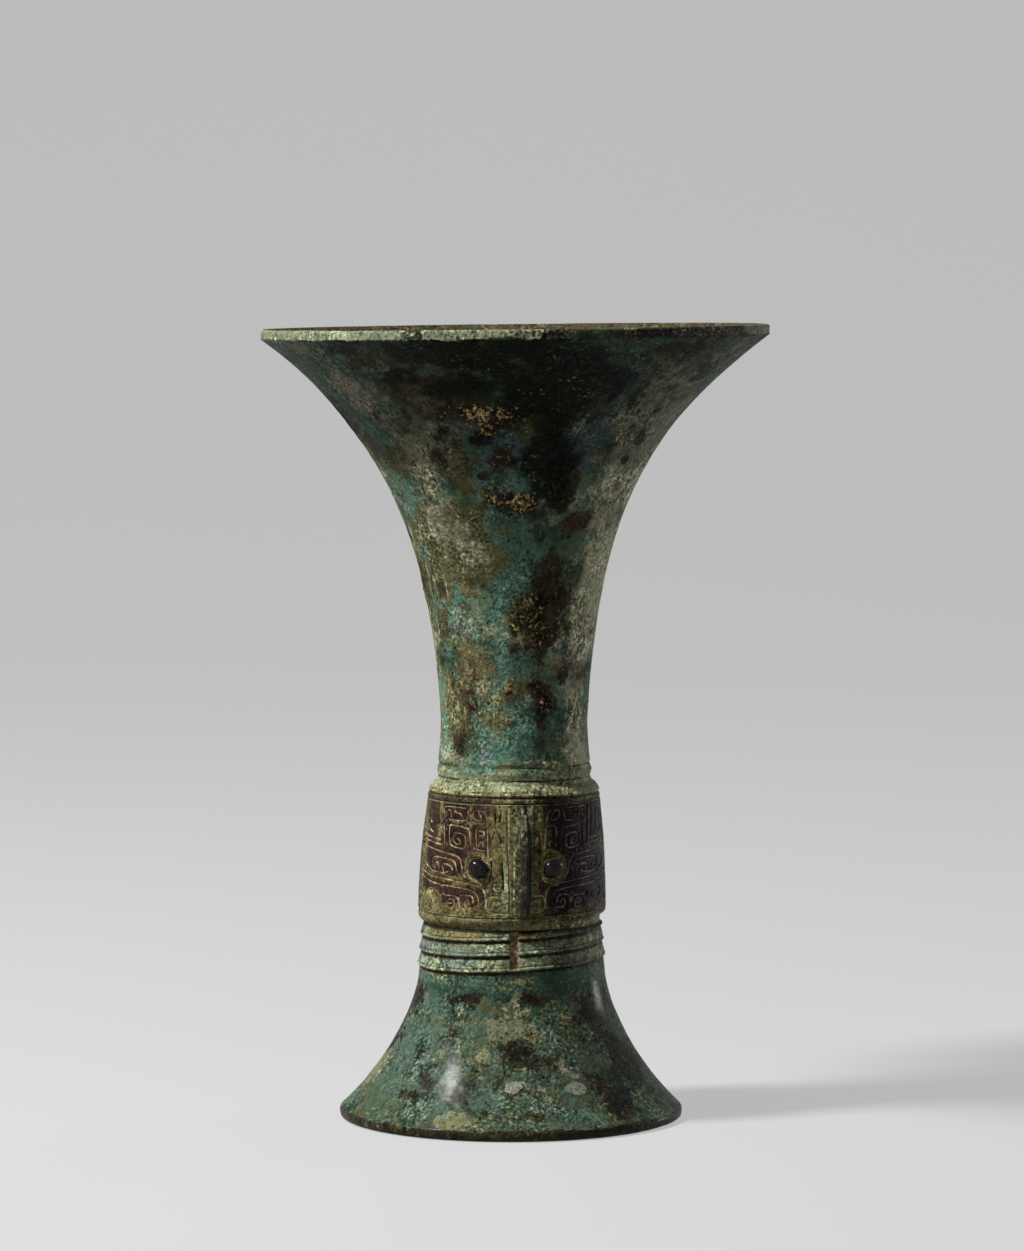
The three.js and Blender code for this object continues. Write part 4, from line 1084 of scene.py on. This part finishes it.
speckLayers = [
    deposit(paleGreen, paleGrey, 430.0, 0.27, soft=0.05, fine=0.8, strength=0.6, lift=0.3),
    deposit(umber, black, 300.0, 0.2, soft=0.05, fine=0.7, strength=0.8, lift=-0.4),
]
looks = {
    "trumpetPatina": {
        "wash": {"scale": 30.0, "colors": [darkOlive, oliveBrown, olive, teal, greyOlive, deepTeal, olive]},
        "layers": [
            deposit(color(82, 109, 94), color(64, 88, 75), 38.0, 0.04, zone="teal", gain=0.28, fine=0.12,
                    soft=0.05, strength=0.92),
            deposit(color(96, 112, 112), color(76, 96, 92), 60.0, 0.13, zone="blue", gain=0.28, fine=0.15,
                    strength=0.88),
            deposit(olive, oliveBrown, 62.0, 0.13, zone="olive", gain=0.26, fine=0.2, strength=0.92,
                    lift=0.35, rough=0.08),
            deposit(ochre, greyOlive, 230.0, 0.17, zone="olive", gain=0.12, fine=0.4, strength=0.7,
                    lift=0.2),
            # the grey film, pale enough to stand for painted sheen of a light from the right
            deposit(color(152, 145, 121), color(164, 158, 132), 50.0, 0.12, zone="greyFilmAndSheen", gain=0.34,
                    fine=0.15, soft=0.1, strength=0.86),
            deposit(color(158, 154, 128), paleGrey, 260.0, 0.2, zone="greyFilmAndSheen", gain=0.15, fine=0.2,
                    streak=(1.0, 1.0, 0.16), strength=0.7, lift=0.2),
            deposit(brown, umber, 75.0, 0.15, zone="dark", gain=0.27, fine=0.25, strength=0.9, lift=-0.3),
            deposit(black, umber, 190.0, 0.22, zone="dark", gain=0.2, fine=0.3, strength=0.9, lift=-0.3),
            deposit(brown, rust, 240.0, 0.19, fine=0.12, streak=(1.0, 1.0, 0.14), strength=0.65),
            deposit(umber, darkOlive, 300.0, 0.16, fine=0.12, streak=(1.0, 1.0, 0.14), strength=0.7),
            # painted shade: this layer multiplies the upper flare darker
            deposit(flareShade, flareShade, 40.0, 0.5, mode="MULTIPLY", soft=0.5, weight=0.5, zone="high", gain=1.0,
                    fine=0.0),
            deposit(color(132, 138, 108), color(128, 122, 86), 420.0, 0.22, zone="pale", gain=0.17,
                    fine=0.15, streak=(1.0, 1.0, 0.15), strength=0.85, lift=0.5),
            deposit(cuprite, rust, 120.0, 0.24, zone="red", gain=0.3, fine=0.4, strength=0.85, lift=-0.2),
        ] + speckLayers + [
            # painted shade on dark patina, near black, where the shade zone lies
            deposit(color(12, 13, 9), color(7, 7, 5), 40.0, 0.11, soft=0.12, zone="shade", gain=0.36,
                    fine=0.2, strength=0.92),
            deposit(umber, black, 150.0, 0.24, soft=0.08, zone="crust", gain=0.45, strength=0.92,
                    rough=0.25),
            deposit(gold, color(166, 140, 98), 420.0, 0.34, soft=0.05, zone="crust", gain=0.38, fine=0.9,
                    lift=1.6, strength=0.95),
            deposit(umber, black, 90.0, 0.5, soft=0.2, zone="pit", gain=0.9, strength=0.8),
            deposit(color(136, 138, 108), color(108, 110, 80), 120.0, 0.34, soft=0.06, zone="collar",
                    gain=0.44, fine=0.25, stretch=(1.0, 1.0, 4.5), strength=0.85, lift=0.3),
            # painted shade on dark patina in the thread grooves
            deposit(umber, black, 70.0, 0.42, soft=0.12, zone="groove", gain=0.7, fine=0.4, strength=0.92),
            deposit(oliveBrown, brown, 50.0, 0.3, soft=0.2, zone="inside", gain=0.5, strength=0.85),
            deposit(color(56, 52, 46), color(36, 31, 26), 130.0, 0.3, soft=0.08, zone="wornLip", gain=0.6,
                    fine=0.7, strength=0.92, lift=-0.3),
            deposit(lilac, color(110, 108, 80), 300.0, 0.46, soft=0.06, zone="wornLip", gain=0.5,
                    fine=0.8, strength=0.8, lift=0.4),
            deposit(lipCream, lipGrey, 120.0, 0.36, soft=0.08, zone="lip", gain=0.52, fine=0.4,
                    strength=0.96, lift=0.15),
        ],
        "contrast": 0.72, "rough": 0.5, "specular": 0.03, "metallic": 0.0, "gain": (1.64, 1.74, 1.7),
        "specks": 0.2, "pits": 0.6,
    },
    "footPatina": {
        "wash": {"scale": 42.0, "colors": [darkOlive, deepTeal, greyOlive, teal, olive, teal, deepTeal,
                                           umber]},
        "layers": [
            deposit(color(78, 104, 92), color(96, 112, 94), 55.0, 0.05, zone="teal", gain=0.24, fine=0.15,
                    soft=0.04, strength=0.85),
            # a lilac-grey film, with painted sheen at the top right near 38 degrees
            deposit(lilac, greyFilm, 60.0, 0.15, zone="greyFilmAndSheen", gain=0.26, fine=0.2, soft=0.06, strength=0.7),
            deposit(color(150, 146, 106), color(132, 140, 110), 62.0, 0.16, zone="olive", gain=0.28,
                    fine=0.2, strength=0.8, lift=0.3),
            deposit(ochre, olive, 110.0, 0.18, zone="olive", gain=0.15, fine=0.3, strength=0.75),
            deposit(brown, umber, 85.0, 0.14, zone="dark", gain=0.26, fine=0.25, strength=0.85, lift=-0.25),
            deposit(black, darkOlive, 130.0, 0.16, zone="dark", gain=0.18, fine=0.3, strength=0.88,
                    lift=-0.3),
            deposit(paleGreen, paleGrey, 180.0, 0.24, zone="pale", gain=0.18, fine=0.35, strength=0.75,
                    lift=0.35),
            deposit(tan, paleGrey, 260.0, 0.22, zone="pale", gain=0.15, fine=0.2, stretch=(1.0, 1.0, 4.0),
                    strength=0.9, lift=0.4),
            deposit(color(74, 60, 38), umber, 110.0, 0.22, zone="red", gain=0.3, fine=0.3, strength=0.85),
            deposit(color(150, 148, 112), paleGreen, 110.0, 0.24, soft=0.05, zone="halo", gain=0.4,
                    fine=0.25, strength=0.8, lift=0.3),
            deposit(color(80, 112, 96), color(52, 74, 62), 90.0, 0.4, soft=0.08, zone="top", gain=0.5,
                    fine=0.2, strength=0.8),
        ] + speckLayers + [
            deposit(tan, olive, 110.0, 0.3, soft=0.1, zone="collar", gain=0.42, fine=0.6, strength=0.75,
                    lift=0.2),
            deposit(oliveBrown, brown, 50.0, 0.3, soft=0.2, zone="inside", gain=0.5, strength=0.8),
            deposit(umber, black, 90.0, 0.5, soft=0.2, zone="pit", gain=0.9, strength=0.7),
            deposit(umber, oliveBrown, 120.0, 0.42, soft=0.08, zone="edge", gain=0.72, fine=0.5,
                    strength=0.94, rough=-0.16),
        ],
        "contrast": 0.72, "rough": 0.52, "coat": 0.08, "coatRough": 0.17, "metallic": 0.0, "specular": 0.03,
        "gain": (0.83, 0.85, 0.82), "specks": 0.35, "pits": 0.35,
    },
    "stemPatina": {
        "wash": {"scale": 80.0, "colors": [oliveBrown, greyOlive, color(112, 122, 100), paleGreen,
                                           greyOlive, olive]},
        "layers": [
            deposit(color(126, 138, 122), color(96, 112, 100), 110.0, 0.15, zone="pale", gain=0.24,
                    fine=0.6, strength=0.85, lift=0.3),
            deposit(color(122, 110, 62), olive, 100.0, 0.14, zone="olive", gain=0.3, fine=0.5,
                    strength=0.88),
            deposit(teal, deepTeal, 130.0, 0.13, fine=0.5, strength=0.6),
            deposit(brown, umber, 120.0, 0.15, zone="dark", gain=0.22, fine=0.6, strength=0.8, lift=-0.3),
            deposit(paleGreen, tan, 300.0, 0.22, fine=0.7, strength=0.6, lift=0.4),
            deposit(teal, deepTeal, 90.0, 0.36, soft=0.1, zone="base", gain=0.5, fine=0.5, strength=0.85),
            deposit(tan, color(116, 108, 66), 110.0, 0.22, zone="olive", gain=0.26, fine=0.6,
                    stretch=(1.0, 1.0, 3.0), strength=0.7),
        ] + speckLayers + [
            deposit(brown, umber, 110.0, 0.4, soft=0.08, zone="above", gain=0.5, fine=0.5,
                    stretch=(1.0, 1.0, 3.0), strength=0.8),
            # painted highlight along the ridge crests
            deposit(color(166, 160, 112), tan, 150.0, 0.5, soft=0.08, zone="crest", gain=0.58, fine=1.0,
                    strength=0.85, lift=0.3),
            # painted shade under the ridges and under the band
            deposit(black, umber, 120.0, 0.36, soft=0.12, zone="undercutShade", gain=0.8, fine=0.3, strength=0.94),
            deposit(cuprite, rust, 140.0, 0.26, zone="red", gain=0.3, fine=0.5, strength=0.7),
            deposit(color(168, 138, 114), color(128, 98, 76), 160.0, 0.45, soft=0.1, zone="slot",
                    gain=0.9, fine=0.2, strength=0.95),
            deposit(tan, paleGrey, 330.0, 0.56, zone="slot", gain=0.5, fine=0.7, strength=0.75, lift=0.6),
            deposit(black, umber, 330.0, 0.6, zone="slot", gain=0.5, fine=0.8, strength=0.75, lift=-0.6),
        ],
        "contrast": 0.75, "rough": 0.5, "metallic": 0.0, "specular": 0.06, "gain": (1.2, 1.22, 1.22),
    },
    "bandPatina": {
        "wash": {"scale": 75.0, "colors": [oliveBrown, olive, color(112, 108, 74), color(124, 124, 90),
                                           olive, greyOlive]},
        "layers": [
            deposit(color(120, 108, 62), olive, 90.0, 0.13, zone="olive", gain=0.26, fine=0.6,
                    strength=0.8, lift=0.3),
            deposit(paleGreen, tan, 130.0, 0.17, zone="pale", gain=0.25, fine=0.7, strength=0.8, lift=0.3),
            deposit(brown, umber, 110.0, 0.14, zone="dark", gain=0.22, fine=0.6, strength=0.85, lift=-0.3),
            deposit(reliefBrown, reliefPurple, 70.0, 0.24, zone="strip", gain=0.34, fine=0.5, strength=0.9),
            deposit(color(140, 146, 116), color(110, 114, 84), 120.0, 0.34, soft=0.1, zone="slope",
                    gain=0.46, fine=0.25, stretch=(1.0, 1.0, 4.5), strength=0.88, lift=0.2),
            deposit(color(178, 168, 118), color(158, 150, 100), 150.0, 0.44, soft=0.08, zone="crest",
                    gain=0.55, fine=0.8, strength=0.85, lift=0.3),
            # painted shade on dark patina in the border grooves
            deposit(umber, black, 120.0, 0.42, soft=0.12, zone="groove", gain=0.72, fine=0.5, strength=0.9),
        ] + speckLayers,
        "contrast": 0.7, "rough": 0.5, "metallic": 0.0, "specular": 0.06, "gain": (1.36, 1.36, 1.36),
    },
    "reliefPatina": {
        "wash": {"scale": 120.0, "colors": [reliefPurple, reliefBrown, color(66, 50, 40), reliefBrown,
                                            umber]},
        "layers": [
            # dark purple, stronger on the right half as painted shade
            deposit(color(30, 23, 25), color(22, 17, 17), 90.0, 0.1, soft=0.06, zone="purpleAndShade", gain=0.3,
                    strength=0.9),
            deposit(color(82, 74, 47), color(98, 90, 58), 120.0, 0.17, zone="olive", gain=0.34, fine=0.3,
                    strength=0.88),
            deposit(color(132, 126, 86), color(110, 104, 66), 190.0, 0.29, zone="olive", gain=0.26,
                    fine=0.5, strength=0.85, lift=0.3),
            deposit(color(142, 148, 112), color(118, 124, 88), 160.0, 0.3, soft=0.06, zone="noseStrip",
                    gain=0.42, fine=0.6, strength=0.85, lift=0.2),
            deposit(color(164, 164, 130), tan, 330.0, 0.34, zone="olive", gain=0.18, fine=0.7,
                    strength=0.8, lift=0.4),
            deposit(color(158, 132, 100), color(128, 104, 72), 120.0, 0.38, soft=0.1, zone="line",
                    gain=0.72, fine=0.25, strength=0.94, rough=0.15),
            deposit(linePale, lineOchre, 150.0, 0.54, soft=0.08, zone="line", gain=0.58, fine=0.5,
                    strength=0.85),
            deposit(color(176, 176, 142), color(148, 146, 110), 150.0, 0.42, soft=0.08, zone="nearLine",
                    gain=0.72, fine=0.35, strength=0.92),
            deposit(color(150, 138, 142), color(118, 106, 108), 150.0, 0.42, soft=0.1, zone="farLine",
                    gain=0.62, fine=0.5, strength=0.85),
            # painted highlight beside the keel
            deposit(color(166, 166, 134), color(130, 132, 98), 190.0, 0.42, soft=0.1, zone="edgeHighlight",
                    gain=0.5, fine=0.8, strength=0.85, lift=0.3),
            deposit(color(152, 148, 110), color(120, 116, 78), 190.0, 0.36, soft=0.1, zone="rim",
                    gain=0.5, fine=0.8, strength=0.85, lift=0.3),
            deposit(black, umber, 200.0, 0.2, fine=0.4, strength=0.6),
            deposit(black, umber, 160.0, 0.4, soft=0.1, zone="shadow", gain=0.6, fine=0.3, strength=0.9),
        ],
        "contrast": 0.55, "rough": 0.5, "metallic": 0.0, "specular": 0.04, "pits": 0.35, "specks": 0.2,
        "gain": (1.32, 1.3, 1.28),
    },
    "flangePatina": {
        "wash": {"scale": 110.0, "colors": [oliveBrown, olive, color(118, 120, 88), greyOlive, olive]},
        "layers": [
            deposit(paleGreen, greyOlive, 180.0, 0.1, fine=0.5, strength=0.45, lift=0.3),
            deposit(color(80, 75, 48), color(98, 92, 58), 160.0, 0.14, zone="flank", gain=0.5, fine=0.5,
                    strength=0.94),
            deposit(umber, black, 260.0, 0.22, zone="flank", gain=0.24, fine=0.7, strength=0.9, lift=-0.4),
            # painted highlight along the strip's left edge
            deposit(color(180, 184, 152), paleGreen, 240.0, 0.42, zone="edge", gain=0.42, fine=0.9,
                    strength=0.85, lift=0.3),
            deposit(color(66, 56, 38), color(44, 37, 25), 110.0, 0.4, soft=0.1, zone="crest", gain=0.62,
                    fine=0.4, strength=0.92, rough=-0.12),
            # painted shade on the keel's right flank
            deposit(color(22, 20, 14), color(13, 12, 9), 110.0, 0.3, soft=0.1, zone="right", gain=0.7,
                    fine=0.5, strength=0.95),
        ],
        "contrast": 0.8, "rough": 0.4, "specks": 0.2, "metallic": 0.0, "gain": (1.1, 1.1, 1.1),
    },
    "eyePatina": {
        "wash": {"scale": 200.0, "colors": [color(18, 11, 13), color(30, 20, 24), color(20, 14, 13)]},
        "layers": [
            deposit(tan, paleGreen, 260.0, 0.42, soft=0.1, zone="skirt", gain=0.5, fine=0.8, strength=0.85),
            deposit(black, umber, 260.0, 0.4, soft=0.2, zone="slit", gain=0.8, fine=0.2, strength=0.8),
        ],
        "contrast": 0.3, "rough": 0.5, "metallic": 0.0, "pits": 0.3, "specks": 0.1, "specular": 0.03,
        "coat": 0.3, "coatRough": 0.16,
    },
    "spacerPatina": {
        "wash": {"scale": 200.0, "colors": [greyFilm, paleGrey, color(142, 142, 130), greyOlive]},
        "layers": [
            deposit(teal, greyOlive, 300.0, 0.09, fine=0.8, strength=0.7, lift=-0.3),
        ],
        "contrast": 0.3, "rough": 0.5,
    },
    "cupFloorPatina": {
        "wash": {"scale": 70.0, "colors": [umber, oliveBrown, greyOlive, brown]},
        "layers": [
            deposit(teal, deepTeal, 120.0, 0.12, fine=0.6, strength=0.7, lift=0.3),
        ],
        "contrast": 0.9, "rough": 0.55,
    },
}
materials = {name: patinaMaterial(name, look) for name, look in looks.items()}
print("materials built")

makeTrumpet(materials["trumpetPatina"])
makeFoot(materials["footPatina"])
for name, spot in foot["spacers"].items():
    makeSpacer(name, spot, materials["spacerPatina"])
makeStem(materials["stemPatina"])
makeKnop(materials["bandPatina"])
print("body built")
for face, noseTurn in (("front", body["maskTurn"]), ("back", body["maskTurn"] + math.pi)):
    for label, side in (("left", -1), ("right", 1)):
        makeMaskPanel(f"mask_{face}_{label}", noseTurn, side, materials["reliefPatina"])
        makeEye(f"eye_{face}_{label}", noseTurn, side, materials["eyePatina"])
    shifted = noseTurn + flange["shift"] / body["meanRadius"]
    makeFlange(f"flange_{face}", shifted, flange["rise"], materials["flangePatina"])
for label, quarter in (("right", 1), ("left", -1)):
    turn = body["maskTurn"] + quarter * math.pi / 2
    makeFlange(f"flange_{label}", turn, flange["sideRise"], materials["flangePatina"])
print("mask built")
for name in ("cup_floor", "floor_spacer_1", "floor_spacer_2", "floor_spacer_3"):
    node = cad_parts[name]
    node.data.materials.clear()
    node.data.materials.append(materials["cupFloorPatina" if name == "cup_floor" else "spacerPatina"])
print("cup floor dressed")


# Studio

middle = (0, 0, 0.13)
studio = {
    "floorGrey": 0.2, "floorGlow": 0.44, "worldStrength": 0.075, "worldGlow": 0.4, "reach": 4.0,
    "bendStart": 1.6, "bend": 1.5,
    "lights": {
        "key": {"location": (-1.05, -0.38, 1.38), "target": middle, "size": (0.24, 0.34), "power": 42.0},
        "kicker": {"location": (0.95, 0.62, 0.3), "target": (0, 0, 0.2), "size": (0.3, 0.5), "power": 0.11,
                   "spread": 16.0},
        "fill": {"location": (-0.4, -2.2, 1.0), "target": middle, "size": (1.2, 1.2), "power": 2.5},
    },
}


def seenRays(tree):
    # 1 for camera and glossy rays, 0 for the rest
    rays = addNode(tree, "ShaderNodeLightPath").outputs
    return maths(tree, "MAXIMUM", rays["Is Camera Ray"], rays["Is Glossy Ray"])


def makeStudio():
    # a floor z = 0 that turns up into a wall behind it along a quarter circle:
    # y = start + bend sin t and z = bend - bend cos t
    start, bend, reach = studio["bendStart"], studio["bend"], studio["reach"]
    t = np.linspace(0, math.pi / 2, 24)
    curve = np.column_stack([start + bend * np.sin(t), bend - bend * np.cos(t)])
    run = np.vstack([[-reach, 0], curve, [start + bend, reach]])
    x = np.array([-reach, reach])
    grid = np.stack([x[None, :] + 0 * run[:, :1], run[:, :1] + 0 * x, run[:, 1:] + 0 * x], -1)
    faces = gridFaces(len(run), 2)[:, ::-1]
    sweep = meshFromFaces("studioSweep", grid.reshape(-1, 3), [faces])
    material = bpy.data.materials.new("studioPaper")
    material.use_nodes = True
    shader = material.node_tree.nodes["Principled BSDF"]
    shader.inputs["Base Color"].default_value = (studio["floorGrey"],) * 3 + (1,)
    shader.inputs["Roughness"].default_value = 0.9
    shader.inputs["Emission Color"].default_value = (1, 1, 1, 1)
    glow = times(material.node_tree, seenRays(material.node_tree), studio["floorGlow"])
    material.node_tree.links.new(glow, shader.inputs["Emission Strength"])
    sweep.data.materials.append(material)
    world = bpy.data.worlds.new("studioWorld")
    world.use_nodes = True
    tree = world.node_tree
    sky = tree.nodes["Background"].inputs
    sky["Color"].default_value = (0.95, 0.97, 1.0, 1)
    glow = times(tree, seenRays(tree), studio["worldGlow"])
    tree.links.new(maths(tree, "MAXIMUM", glow, studio["worldStrength"]), sky["Strength"])
    bpy.context.scene.world = world


def addLight(name, location, target, size, power, spread=180):
    data = bpy.data.lights.new(name, "AREA")
    data.energy = power
    data.shape = "RECTANGLE"
    data.size, data.size_y = size
    data.spread = math.radians(spread)
    light = bpy.data.objects.new(name, data)
    light.location = location
    light.rotation_euler = (Vector(target) - Vector(location)).to_track_quat("-Z", "Y").to_euler()
    bpy.context.scene.collection.objects.link(light)


view = {"location": (0, -1.638, 0.268), "sensor": 36, "focalPixels": 5202, "framePixels": 1251,
        "horizonRow": 269}


def makeCamera():
    # a long lens above the rim's height, pitched down from the horizon's row to the middle of the frame
    data = bpy.data.cameras.new("camera")
    camera = bpy.data.objects.new("camera", data)
    data.sensor_fit = "VERTICAL"
    data.sensor_height = view["sensor"]
    data.lens = view["sensor"] * view["focalPixels"] / view["framePixels"]
    data.clip_start = 0.05
    data.clip_end = 20
    camera.location = view["location"]
    pitch = math.atan((view["framePixels"] / 2 - view["horizonRow"]) / view["focalPixels"])
    camera.rotation_euler = (math.pi / 2 - pitch, 0, 0)
    bpy.context.scene.collection.objects.link(camera)
    bpy.context.scene.camera = camera


makeStudio()
for name, light in studio["lights"].items():
    addLight(name, **light)
makeCamera()
bpy.context.scene.view_settings.view_transform = "Standard"
print("studio built")

bpy.context.view_layer.update()
